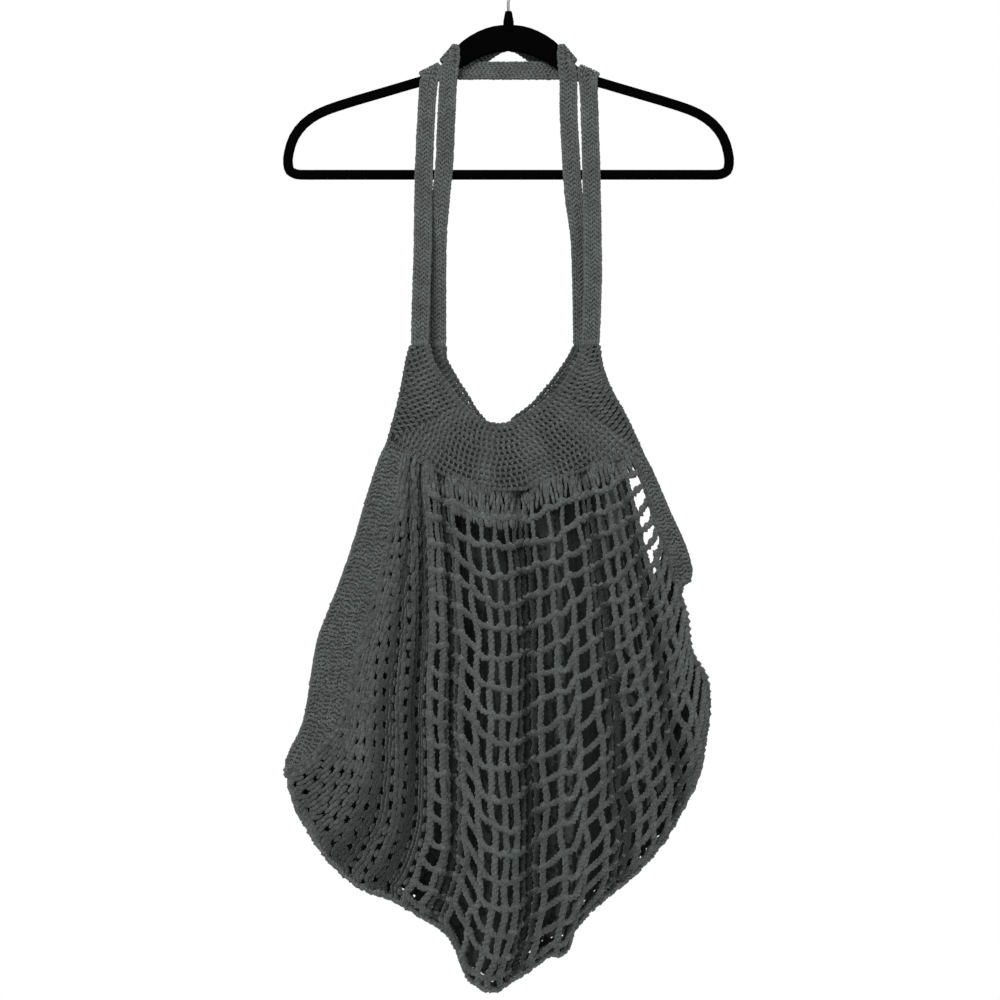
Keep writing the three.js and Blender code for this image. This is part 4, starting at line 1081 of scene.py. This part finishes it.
class Cloth:
    """Base of the crocheted pieces: stitches laid out on a surface."""

    def __init__(self, name: str, material: bpy.types.Material, seed: int) -> None:
        """Start an empty piece.

        Args:
            name: name of the piece.
            material: finish of its yarn.
            seed: start of its random draws.
        """
        self.name = name
        self.material = material
        self.random = np.random.default_rng(seed)
        self.mesh = YarnMesh(name)

    def edge(self, sheet: Surface, v: float, count: int, radius: Value, tone: float, beads: Array) -> None:
        """Add the chain of stitches along an edge of a sheet.

        Args:
            sheet: the sheet, whose u runs from 0 to 1 along the edge.
            v: place of the chain across the sheet.
            count: number of stitches.
            radius: radius of the yarn, as a number or at each point.
            tone: brightness.
            beads: brightness at each point.
        """
        u = np.linspace(0, 1, count * 3)
        path, _, _, normal = sheet.basis(u, np.full_like(u, v))
        self.mesh.tube(path, normal, radius, 6, tone, beads)

    def vee_row(self, surface: Surface, u: Array, v: Array, pitch: float, width: float, lift: float,
                tone: float = 1.0, lean: float = 0.5, flip: Value = 1.0, loose: float = 0.09) -> None:
        """Add a row of V-shaped stitches.

        Args:
            surface: sheet that the row lies on.
            u: places of the stitches along the row.
            v: places of the stitches across the row.
            pitch: length of a stitch in millimetres.
            width: width of the row in millimetres.
            lift: distance from the sheet, below zero on its other face.
            tone: brightness.
            lean: angle of the V's legs.
            flip: 1 or -1, the way that the V points.
            loose: how unevenly the legs lie.
        """
        points, along, across, normal = surface.basis(u, v)
        face = math.copysign(1.0, lift)
        count = len(points)
        for leg in (-1, 1):
            angle = lean * leg + self.random.normal(0, loose, count)
            flipped = np.broadcast_to(flip, (count,))
            direction = (along * np.cos(angle)[:, None] * flipped[:, None] + across * np.sin(angle)[:, None]
                         + normal * face * 0.14)
            centre = points + across * (leg * width * 0.25) + normal * lift
            centre = centre + self.random.normal(0, 0.12, (count, 3))
            size = np.array([pitch * 0.62, width * 0.29, width * 0.25])
            size = size * self.random.uniform(0.9, 1.1, (count, 1))
            self.mesh.lobes(centre, direction, normal * face, size, tone * self.random.uniform(0.84, 1.08, count))

    def core(self, surface: Surface, us: Array, vs: Array, thickness: float, tone: float = 0.3) -> None:
        """Add a thin inner sheet that closes the cloth behind its stitches, dark as painted shade between them.

        Args:
            surface: sheet that it follows.
            us: rows of its grid.
            vs: columns of its grid.
            thickness: thickness in millimetres.
            tone: brightness, a painted shade.
        """
        u, v = np.meshgrid(us, vs, indexing="ij")
        points, _, _, normal = surface.basis(u, v)
        rows, columns = u.shape
        half = normal * thickness / 2
        strand = np.stack([u, v, u], -1)
        start = self.mesh.add(np.stack([points + half, points - half]), np.full((2, rows, columns), tone),
                              np.stack([strand, strand]))
        index = np.arange(rows * columns).reshape(rows, columns) + start
        under = rows * columns
        top = np.stack([index[:-1, :-1], index[:-1, 1:], index[1:, 1:], index[1:, :-1]], -1).reshape(-1, 4)
        loop = np.concatenate([index[0, :-1], index[:-1, -1], index[-1, :0:-1], index[:0:-1, 0]])
        after = np.roll(loop, -1)
        rim = np.stack([after, loop, loop + under, after + under], -1)
        turned = np.cross(points[:-1, 1:] - points[:-1, :-1], points[1:, :-1] - points[:-1, :-1])
        quads = np.vstack([top, top[:, ::-1] + under, rim])
        faces_out = float(np.sum(turned * normal[:-1, :-1])) > 0
        self.mesh.quads.append(quads if faces_out else quads[:, ::-1])

    def finish(self, slot: str, *nodes: str) -> bpy.types.Object:
        """Build the mesh and let it stand for the frame's nodes.

        Args:
            slot: name of its finish.
            nodes: names of the frame's nodes.

        Returns:
            The finished piece.
        """
        obj = self.mesh.build(self.material)
        settle(obj, slot, *nodes)
        return obj


def settle(obj: bpy.types.Object, slot: str, *nodes: str) -> None:
    """Let a piece ride on the body and replace its nodes.

    Args:
        obj: the piece.
        slot: not used.
        nodes: names of the frame's nodes that it stands for.
    """
    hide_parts(*nodes)
    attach(obj, "root")


class Strap(Cloth):
    """A handle's strap: lengthwise rows of stitches on both faces."""

    ROWS = 4
    PITCH = 4.3
    EDGES = (0.06, 0.94)
    LIFT = 1.15
    CORE = 1.6

    def dress(self, sheet: StrapSheet) -> None:
        """Lay the stitches on both faces of the strap.

        Args:
            sheet: the strap's sheet.
        """
        self.mesh.floor = 0.6
        count = int(sheet.length / self.PITCH)
        row_width = (SIZES.strap_width - 1.0) / self.ROWS
        for end in (0.0, 1.0):
            v = np.linspace(0.08, 0.92, 7)
            points, along, _, normal = sheet.basis(np.full(7, end), v)
            centres = points - along * (1.2 if end == 0.0 else -1.2)
            for face in (1, -1):
                self.mesh.lobes(centres + normal * face * 0.9, along, normal * face, np.array([4.0, 1.5, 1.4]), 0.9)
        for face in (1, -1):
            for row in range(self.ROWS):
                shift = 0.5 * (row % 2)
                u = np.clip((np.arange(count) + 0.5 + shift) / (count + 0.5), 0, 1)
                v = np.full(count, 0.03 + 0.94 * (row + 0.5) / self.ROWS)
                flip = 1.0 if row % 2 == 0 else -1.0
                self.vee_row(sheet, u, v, self.PITCH, row_width, face * self.LIFT, 0.84, 0.3, flip)
        self.core(sheet, np.linspace(0, 1, 160), np.linspace(*self.EDGES, 4), self.CORE)
        beads = 0.8 + 0.2 * np.cos(np.arange(count * 3) / 3 * 2 * np.pi)
        for v in self.EDGES:
            self.edge(sheet, v, count, 1.75 * (0.8 + 0.2 * beads), 0.82, beads)


class Yoke(Cloth):
    """A yoke: curved rows that follow the neckline, with small staggered holes."""

    PITCH = 5.5
    STITCH = 5.2
    CORD = 1.95
    EDGE_CORD = 2.2
    LEAST_ROOM = 3.5
    INWARD = 0.7

    def dress(self, sheet: YokeSheet) -> None:
        """Lay the rows, the posts between them and the edges.

        Args:
            sheet: the yoke's sheet.
        """
        u = np.linspace(0, sheet.last, 240)
        ribs = sheet.rib_length(u)
        rows = int(np.max(ribs) / self.PITCH) + 1
        for row in range(1, rows + 1):
            offset = (row - 0.35) * self.PITCH
            inside = ribs > offset + 1.2
            for run in self._runs(inside):
                if len(run) > 5:
                    self._row(sheet, u[run], offset / ribs[run], row, ribs[run], self.CORD)
        for v in (0.0, 1.0):
            self._row(sheet, u, np.full_like(u, v), 40 + int(v), ribs * (1 - v), self.EDGE_CORD)
        # A dark sheet inside the yoke: painted shade seen through its holes.
        inner = Behind(sheet, -self.INWARD * sheet.side.value)
        self.core(inner, np.linspace(0, sheet.last, 160), np.linspace(0.03, 1.02, 10), THIN_SHEET, SHADE_SHEET_TONE)

    @staticmethod
    def _runs(inside: Array) -> list[Array]:
        """The unbroken runs of places where a row lies on the cloth.

        Args:
            inside: whether each place does.

        Returns:
            The numbers of the places in each run.
        """
        index = np.flatnonzero(inside)
        return np.split(index, np.flatnonzero(np.diff(index) > 1) + 1) if len(index) else []

    def _row(self, sheet: YokeSheet, u: Array, v: Array, seed: int, ribs: Array, radius: float) -> None:
        """Add one row of cord with the posts that hang from it on both faces.

        Args:
            sheet: the yoke's sheet.
            u: places of the row, counted in ribs.
            v: shares of the way from the neckline.
            seed: number of the row, which sets its stagger.
            ribs: length of the ribs at the row.
            radius: radius of the cord at the neckline.
        """
        run = run_along(sheet.at(u, v))
        stitches = max(3, int(run[-1] / self.STITCH))
        at = np.linspace(0, run[-1], stitches * 4 + 1)
        uu, vv = np.interp(at, run, u), np.interp(at, run, v)
        phase = at / run[-1] * stitches * 2 * np.pi + (seed % 2) * np.pi
        path, _, _, normal = sheet.basis(uu, vv)
        path = path + self.random.normal(0, 0.12, path.shape)
        radius = radius * (1.08 - 0.2 * smooth(np.clip(vv, 0, 1)))
        self.mesh.tube(path, normal, radius * (1 + 0.2 * np.cos(phase)), 6, 0.82, 0.72 + 0.28 * np.cos(phase), 0.95)
        middle = (np.arange(stitches) + 0.5 * (seed % 2)) * run[-1] / stitches + 0.5
        room = np.interp(middle, run, ribs * (1 - v))
        middle = middle[room > self.LEAST_ROOM]
        if not len(middle):
            return
        mu, mv = np.interp(middle, run, u), np.interp(middle, run, v)
        centre, along, down, out = sheet.basis(mu, mv)
        for face in (1, -1):
            wide = 1.6 - 0.65 * smooth(np.clip(mv, 0, 1))[:, None]
            size = np.array([2.8, 1.0, 1.35]) * self.random.uniform(0.85, 1.2, (len(middle), 1))
            size[:, 1:2] *= wide
            lean = down + along * self.random.normal(0.25, 0.15, (len(middle), 1))
            self.mesh.lobes(centre + down * 2.4 + out * face * 0.75, lean, out * face, size,
                            self.random.uniform(0.62, 0.88, len(middle)))


class SlitBand(Cloth):
    """A slit's band: close rows of stitches that follow the slit's edge."""

    PITCH = 4.0
    ROW = 4.2
    LIFT = 1.0
    LOOSE = 0.38
    CORE = 1.2

    def dress(self, sheet: BandSheet) -> None:
        """Lay the rows of stitches on both faces of the band.

        Args:
            sheet: the band's sheet.
        """
        self.mesh.floor = 0.62
        count = int(sheet.length / self.PITCH)
        u = (np.arange(count) + 0.5) / count
        width = np.linalg.norm(sheet.at(u, np.ones(count)) - sheet.at(u, np.zeros(count)), axis=1)
        rows = int(np.max(width) / self.ROW) + 1
        for row in range(rows):
            offset = (row + 0.45) * self.ROW
            inside = width > offset
            if np.count_nonzero(inside) < 3:
                continue
            vv = offset / width[inside] + self.random.normal(0, 0.012, np.count_nonzero(inside))
            for lift in (self.LIFT, -self.LIFT):
                uu = u[inside] + self.random.uniform(0, 1) / count
                uu = uu + self.random.normal(0, 0.12, len(uu)) / count
                self.vee_row(sheet, uu, vv, self.PITCH, self.ROW, lift, 0.9, 0.62, 1.0 if row % 2 else -1.0,
                             self.LOOSE)
        self.core(sheet, np.linspace(0, 1, 180), np.linspace(0.03, 0.97, 8), self.CORE)
        beads = 0.75 + 0.25 * np.cos(np.arange(count * 3) / 3 * 2 * np.pi)
        for v in (0.0, 1.0):
            self.edge(sheet, v, count, 1.7 * (0.85 + 0.2 * beads), 0.95, beads)


def outwards(wall: NetWall, normal: Array) -> Array:
    """Normals of a wall, turned out of the bag."""
    return normal * np.sign(np.sum(normal[:, 1]) * wall.side.value)


class NetPouch(Cloth):
    """One side of the pouch: posts and sagging rows of cord, joined round the sides and the fold."""

    CORD = 3.3
    # The open cells beside the right slit: how far down they reach on both walls, and the front's first such post.
    OPEN_BACK = 0.36
    OPEN_FRONT = 0.3
    SMALL_CELLS = 19
    NET_TONE = 0.8
    FRONT_STEP = 3.8
    POST_STEP = 2.6
    ROW_STEP = 2.8
    POST_TWIST = 11.5
    ROW_TWIST = 9.5
    # The part that is drawn shut: levels of stitches, their spacing, and where its slots begin.
    SHUT_LEVELS = 84
    SHUT_PITCH = 4.6
    SLOTS_FROM = 0.14
    # The gathers' levels: share down the wall and spacing of the stitches. The lowest two are the tuft.
    GATHERS = ((0.003, 3.0), (0.02, 3.6), (0.036, 4.6), (0.05, 2.6), (0.064, 2.8))
    GATHER_WIDTH = 235
    TUFT_FROM = 0.04
    TUFT = (0.2, 0.52)
    # The painted shade sheet behind the back wall: where it ends down the wall, and how far inside the wall it lies.
    SHADE_SHEET_END = 0.972
    SHADE_SHEET_GAP = 1.5
    FOLD_STEP = 8.5
    FOLD_WAVES = 34

    def __init__(self, name: str, material: bpy.types.Material, seed: int, side: Side) -> None:
        """Start an empty side of the pouch.

        Args:
            name: name of the piece.
            material: finish of its yarn.
            seed: start of its random draws.
            side: the front or the back.
        """
        super().__init__(name, material, seed)
        self.side = side
        self.wall = NetWall(side)
        self.pitch = 1 / (NET_ROWS - 0.5)

    def row_share(self, row: float, u: Array, posts: Array) -> Array:
        """Share down the wall of a row, which sags between the posts.

        Args:
            row: number of the row.
            u: places along it, in pleat lines.
            posts: places of the posts.

        Returns:
            A share at each place.
        """
        gap = np.clip(np.searchsorted(posts, u, side="right") - 1, 0, len(posts) - 2)
        part = (u - posts[gap]) / np.maximum(posts[gap + 1] - posts[gap], 1e-6)
        sag = 0.12 * np.sin(np.pi * np.clip(part, 0, 1))
        base = (row * self.pitch) + (sag + 0.13 * wobble(u * 0.8, row * 0.37)) * self.pitch
        return np.clip(base, 0.004, 1.0)

    def fold_light(self, u: Array, v: Array) -> Array:
        """How much light reaches a place: little in a valley between two pleats.

        Args:
            u: places in pleat lines.
            v: shares down the wall.

        Returns:
            Brightness at each place.
        """
        low = np.minimum(np.asarray(u).astype(int), self.wall.last - 1)
        depth = lerp(self.wall.pleats[low, 2], self.wall.pleats[low + 1, 2], smooth(u - low))
        inside = np.clip(np.sin(np.pi * u / self.wall.last) * 3, 0, 1) * np.clip(v * 8, 0.3, 1)
        return 1 - 0.97 * np.minimum(1, depth * 2.0) ** 0.8 * inside

    def cord_tone(self, u: Array, v: Array) -> Array:
        """Brightness of a cord along its places on the wall: a random tone times the painted shade of the valleys."""
        return self.NET_TONE * float(self.random.uniform(0.84, 1.1)) * self.fold_light(u, v)

    def cord(self, path: Array, out: Array, radius: Value, tone: Array, twist: float) -> None:
        """Add a cord: a twisted pair of strands on the front, a beaded one on the back.

        Args:
            path: points of its middle line.
            out: directions out of the cloth.
            radius: radius of the cord.
            tone: brightness at each point.
            twist: length of one turn of the pair.
        """
        if twist:
            self.mesh.rope(path, out, radius, twist, self.random.uniform(0, 6.28), tone=tone)
        else:
            beads = np.cos(np.arange(len(path)) * 2.1)
            self.mesh.tube(path, out, radius * (1 + 0.16 * beads), 5, tone * 0.95, 0.7 + 0.3 * beads)

    def post(self, u: float, top: float, radius: float, twist: float, step: float) -> None:
        """Add one upright cord from a share of the wall down to the fold.

        Args:
            u: place of the post, in pleat lines.
            top: share down the wall at which it starts.
            radius: radius of the cord.
            twist: length of one turn, or 0 for a beaded cord.
            step: distance of the points along it.
        """
        rough = self.wall.at(np.full(24, u), np.linspace(top, 1.0, 24))
        count = max(6, int(run_along(rough)[-1] / step))
        v = np.linspace(top, 1.0, count)
        zigzag = 0.035 * np.sin(np.pi * v / self.pitch + u * 7.0)
        sway = (0.09 * wobble(v * 9, u) + zigzag) * np.sin(np.pi * np.clip(v * 3, 0, 0.5))
        places = np.clip(u + sway, 0, self.wall.last)
        points, _, _, normal = self.wall.basis(places, v)
        radius = radius * lerp(0.6, 1, smooth(np.minimum(1, v * 2.6)))
        self.cord(points, outwards(self.wall, normal), radius, self.cord_tone(places, v), twist)

    def row(self, row: int, posts: Array, start: float, end: float, twist: float, step: float) -> None:
        """Add one row of cord across the wall.

        Args:
            row: number of the row.
            posts: places of the posts that it crosses.
            start: its first place, in pleat lines.
            end: its last place.
            twist: length of one turn, or 0 for a beaded cord.
            step: distance of the points along it.
        """
        u = np.linspace(start, end, 400)
        run = run_along(self.wall.at(u, self.row_share(row, u, posts)))
        places = np.interp(np.linspace(0, run[-1], max(6, int(run[-1] / step))), run, u)
        v = self.row_share(row, places, posts)
        path, _, _, normal = self.wall.basis(places, v)
        out = outwards(self.wall, normal)
        self.cord(path + out * 0.7, out, self.CORD, self.cord_tone(places, v), twist)

    def knots(self, posts: Array, rows: Iterable[int]) -> None:
        """Add the stitch heads where rows cross posts.

        Args:
            posts: places of the posts.
            rows: numbers of the rows.
        """
        for row in rows:
            points, along, down, normal = self.wall.basis(posts, self.row_share(row, posts, posts))
            out = outwards(self.wall, normal)
            size = np.array([4.4, 3.7, 2.8]) * self.random.uniform(0.8, 1.12, (len(posts), 1))
            lean = along + down * self.random.normal(0.1, 0.35, (len(posts), 1))
            self.mesh.lobes(points + out * 0.9, lean, out, size,
                            self.NET_TONE * self.random.uniform(0.8, 1.08, len(posts)))

    def dress(self) -> None:
        """Lay all the cords of this side of the pouch."""
        # Stronger painted shade on the sides of the cords that face into the bag.
        self.mesh.inner_shade = 0.4
        last = float(self.wall.last)
        rows = range(1, NET_ROWS)
        if self.side is Side.FRONT:
            for u in FRONT_POSTS[:-1]:
                top = self.OPEN_FRONT if u > self.SMALL_CELLS else 0.0
                self.post(float(u), top, self.CORD, self.POST_TWIST, self.FRONT_STEP)
            for row in rows:
                self.row(row, FRONT_POSTS, CLOSED_PART - 0.2, last, self.ROW_TWIST, self.FRONT_STEP)
            self.knots(FRONT_POSTS[:-1], rows)
            self._closed_part()
            self._sides()
        else:
            for u in BACK_POSTS[:-1]:
                self.post(float(u), 0.0, self.CORD, 0, self.POST_STEP)
            for row in rows:
                end = last if row * self.pitch > self.OPEN_BACK else BACK_SIDE_LINE
                self.row(row, BACK_POSTS, 0.0, end, 0, self.ROW_STEP)
            self.knots(BACK_POSTS[:-1], rows)
            self._shade_sheet()
        self.post(0.0, 0.0, self.CORD * 0.85, 0, self.ROW_STEP)
        top = 0.0 if self.side is Side.FRONT else self.OPEN_BACK
        self.post(last, top, self.CORD * 0.85, 0, self.ROW_STEP)
        self._gathers()
        self._fold()

    def _closed_part(self) -> None:
        """The left of the front, where the net is drawn shut and only short slots stay open."""
        fine = np.linspace(0.0, CLOSED_PART, 80)
        for k, v in enumerate(np.linspace(0.01, 0.994, self.SHUT_LEVELS)):
            run = run_along(self.wall.at(fine, np.full_like(fine, v)))
            count = max(4, int(run[-1] / self.SHUT_PITCH))
            order = np.arange(count)
            u = np.interp(run[-1] - (order + 0.5) * run[-1] / count, run, fine)
            slot = (order % 3 == 1) & ((k + order // 3) % 3 != 0) & (v > self.SLOTS_FROM)
            keep = ~slot | (self.random.uniform(0, 1, count) < 0.08)
            level = np.clip(v + self.random.normal(0, 0.0015, count), 0, 1)
            points, along, _, normal = self.wall.basis(u, level)
            down = unit(self.wall.at(u, level + 0.008) - self.wall.at(u, level - 0.008))
            out = outwards(self.wall, normal)
            lean = down + along * self.random.normal(0, 0.16, (count, 1))
            size = np.stack([self.random.uniform(4.2, 5.2, count), self.random.uniform(2.3, 2.9, count),
                             np.full(count, 2.1)], 1)
            points = points + out * self.random.uniform(-0.3, 0.6, (count, 1))
            # A random tone, darker than the cords as painted shade of the drawn-shut net, and darker still in the
            # valleys.
            tone = self.random.uniform(0.38, 0.68, count) * self.fold_light(u, level)
            self.mesh.lobes(points[keep], lean[keep], out[keep], size[keep], tone[keep])

    def _shade_sheet(self) -> None:
        """A dark sheet behind the back wall's cords: painted shade for its closed-up folds."""
        inner = Behind(self.wall, -self.SHADE_SHEET_GAP)
        side = BACK_SIDE_LINE + 0.05
        self.core(inner, np.linspace(0.0, side, 90), np.linspace(0.0, self.SHADE_SHEET_END, 68), THIN_SHEET, SHADE_SHEET_TONE)
        lower = np.linspace(self.OPEN_BACK, self.SHADE_SHEET_END, 39)
        self.core(inner, np.linspace(side, self.wall.last, 6), lower, THIN_SHEET, SHADE_SHEET_TONE)

    def _gathers(self) -> None:
        """The bunched stitches right under a yoke, longest in the tuft at the middle."""
        for v, spread in self.GATHERS:
            count = int(self.GATHER_WIDTH / spread)
            shares = (np.arange(count) + self.random.uniform(0.2, 0.8, count)) / count
            if v > self.TUFT_FROM:
                shares = shares[(shares > self.TUFT[0]) & (shares < self.TUFT[1])]
                count = len(shares)
            u = np.interp(shares, self.wall.pleats[:, 0], np.arange(self.wall.last + 1))
            points, along, _, normal = self.wall.basis(u, np.full(count, v))
            down = unit(self.wall.at(u, np.full(count, v + 0.008)) - self.wall.at(u, np.full(count, v - 0.004)))
            out = outwards(self.wall, normal)
            lean = down + along * self.random.normal(0, 0.12, (count, 1))
            size = np.array([6.5, 1.8, 2.0]) * self.random.uniform(0.75, 1.2, (count, 1))
            self.mesh.lobes(points + out * self.random.uniform(-0.6, 1.4, (count, 1)), lean, out, size,
                            self.random.uniform(0.55, 0.9, count))

    def _bridge(self, u: float, v: float, push: Array, radius: float) -> None:
        """Add a short cord from the front wall to the back one.

        Args:
            u: its place on the front wall, in pleat lines.
            v: its share down the wall.
            push: how far it bows out.
            radius: radius of the cord.
        """
        first = self.wall.at(np.array(u), np.array(v))
        last = first * np.array([1, -1, 1]) + np.array([0, 2 * SIZES.mid_depth, 0])
        share = np.linspace(0, 1, 6)[:, None]
        path = lerp(first, last, share) + push * np.sin(np.pi * share)
        self.mesh.tube(path, np.repeat(unit(push)[None], 6, 0), radius, 5, 0.9)

    def _fold(self) -> None:
        """The chain along the lower fold, and on the front the cords that pass under it."""
        if self.side is Side.FRONT:
            fine = np.linspace(0, self.wall.last, 600)
            line = self.wall.at(fine, np.ones_like(fine))
            run = run_along(line)
            for along in np.arange(3.0, run[-1], self.FOLD_STEP):
                self._bridge(np.interp(along, run, fine), 1.0, np.array([0, 0, -1.5]), self.CORD * 0.9)
            middle = line[::3] * np.array([1, 0, 1]) + np.array([0, SIZES.mid_depth, -1.0])
            self.mesh.rope(middle, np.tile([0.0, 0.0, -1.0], (200, 1)), self.CORD * 0.8, self.ROW_TWIST, 1.1, tone=0.8)
        count = 260
        u = np.linspace(0, self.wall.last, count)
        path = self.wall.at(u, np.full_like(u, 0.997))
        path[:, 2] += 1.3 * np.sin(np.arange(count) / count * 2 * np.pi * self.FOLD_WAVES)
        out = np.tile([0.0, float(self.side.value), 0.0], (count, 1))
        self.mesh.rope(path, out, self.CORD * 0.95, self.ROW_TWIST, 0.4, tone=0.85)

    def _sides(self) -> None:
        """The rungs that close the sides below the slits, and the rounded feet of the slits."""
        for hand, u in ((Hand.LEFT, 0.0), (Hand.RIGHT, float(self.wall.last))):
            for v in np.arange(SLIT_FOOT[hand], 1.0, self.pitch * 0.5):
                self._bridge(u, v, np.array([hand.value * 1.5, 0, 0]), self.CORD * 0.9)
            for drop in (-0.012, 0.0, 0.012, 0.024):
                push = np.array([hand.value * (4.2 - 90 * abs(drop)), 0, 0])
                self._bridge(u, SLIT_FOOT[hand] + drop, push, self.CORD)


class Hanger:
    """The hanger that holds the bag: its frame and its hook keep their modelled form."""

    def dress(self, nodes: dict) -> None:
        """Give the frame's own nodes their finishes.

        Args:
            nodes: the frame's nodes by name.
        """
        flock = FlockFinish().build()
        wire = WireFinish().build()
        for name, material in (("hanger_frame", flock), ("hanger_hook", wire)):
            obj = nodes[name]
            obj.data.materials.clear()
            obj.data.materials.append(material)


class Studio:
    """Camera, light and a pale ground."""

    PHOTO_SCALE = 0.985
    FOCAL = 85.0
    SENSOR = 36.0
    CAMERA_OFFSET = (-0.0084, -0.0056, -0.5437)
    AMBIENT = 0.38
    # The lamps: place, size in metres, power in watts. All aim at the middle of the bag.
    LAMPS = {
        "key_light": ((-0.8, -1.7, 0.9), 0.8, 62.0),
        "side_light": ((1.7, -1.2, 0.1), 0.8, 16.0),
        "back_light": ((0.6, 1.9, 0.9), 0.9, 44.0),
    }
    AIM = (0, 0, -0.55)
    FLOOR_RADIUS = 1.15
    FLOOR_LEVEL = -1.3

    def camera(self) -> None:
        """Place the camera as in the photo."""
        data = bpy.data.cameras.new("photo_camera")
        data.lens = self.FOCAL
        data.sensor_width = self.SENSOR
        data.dof.use_dof = False
        camera = bpy.data.objects.new("photo_camera", data)
        distance = self.PHOTO_SCALE * self.FOCAL / self.SENSOR
        across, back, up = self.CAMERA_OFFSET
        camera.location = (across, back - distance, up)
        camera.rotation_euler = (math.pi / 2, 0, 0)
        bpy.context.scene.collection.objects.link(camera)
        bpy.context.scene.camera = camera

    def light(self) -> None:
        """A world that is white to the camera and weaker as a light, and the lamps."""
        world = bpy.data.worlds.new("pale_world")
        world.use_nodes = True
        tree = world.node_tree
        glow = tree.nodes["Background"]
        glow.inputs["Color"].default_value = (1.0, 1.0, 1.0, 1)
        seen = tree.nodes.new("ShaderNodeLightPath").outputs["Is Camera Ray"]
        strength = math_node(tree, "ADD", math_node(tree, "MULTIPLY", seen, 1.0 - self.AMBIENT), self.AMBIENT)
        tree.links.new(strength, glow.inputs["Strength"])
        bpy.context.scene.world = world
        bpy.context.scene.view_settings.view_transform = "Standard"
        for name, (location, size, power) in self.LAMPS.items():
            data = bpy.data.lights.new(name, "AREA")
            data.size = size
            data.energy = power
            lamp = bpy.data.objects.new(name, data)
            lamp.location = location
            aim = Vector(self.AIM) - Vector(location)
            lamp.rotation_euler = aim.to_track_quat("-Z", "Y").to_euler()
            bpy.context.scene.collection.objects.link(lamp)

    def ground(self) -> None:
        """A pale round floor well below the bag."""
        bpy.ops.mesh.primitive_circle_add(vertices=96, radius=self.FLOOR_RADIUS, fill_type="NGON", location=(0, 0, 0))
        floor = bpy.context.active_object
        floor.name = "floor"
        floor.location = (0, 0, self.FLOOR_LEVEL)
        material, _, shader = new_material("pale floor")
        shader.inputs["Base Color"].default_value = (0.86, 0.86, 0.85, 1)
        shader.inputs["Roughness"].default_value = 0.9
        floor.data.materials.append(material)


def write_sizes() -> None:
    """Update the scene's view layer."""
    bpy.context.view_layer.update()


def hanger_edge() -> Curve:
    """The hanger's upper edge from the arch's top to the shoulder's end, for the straps to rest on."""
    half = np.stack([HANGER_EDGE[:, 0] * SIZES.hanger_width / 2, -HANGER_EDGE[:, 1] * SIZES.hanger_fall], 1)
    return Curve(half, samples=60)


def main() -> None:
    """Build the whole look."""
    write_sizes()
    studio = Studio()
    studio.camera()
    studio.light()
    studio.ground()
    yarn = YARN.build()
    dense = BAND_YARN.build()
    edge = hanger_edge()
    for side, name, seed in ((Side.FRONT, "front", 3), (Side.BACK, "back", 4)):
        strap = Strap(f"{name}_strap", yarn, seed)
        strap.dress(StrapSheet(side, edge))
        strap.finish("cotton_yarn", f"{name}_handle")
        yoke = Yoke(f"{name}_yoke_cloth", yarn, seed + 10)
        yoke.dress(YokeSheet(side))
        yoke.finish("cotton_yarn", f"{name}_yoke")
    for hand, name in ((Hand.LEFT, "left"), (Hand.RIGHT, "right")):
        band = SlitBand(f"{name}_slit_stitches", dense, 21 + hand.value)
        band.dress(BandSheet(hand))
        band.finish("band_yarn", f"{name}_side_band")
    for side, name in ((Side.FRONT, "front_net_cords"), (Side.BACK, "back_net_cords")):
        pouch = NetPouch(name, yarn, 31 + side.value, side)
        pouch.dress()
        pouch.finish("cotton_yarn", "net_pouch")
    Hanger().dress(frame["nodes"])
    write_sizes()


if __name__ == "__main__":
    main()
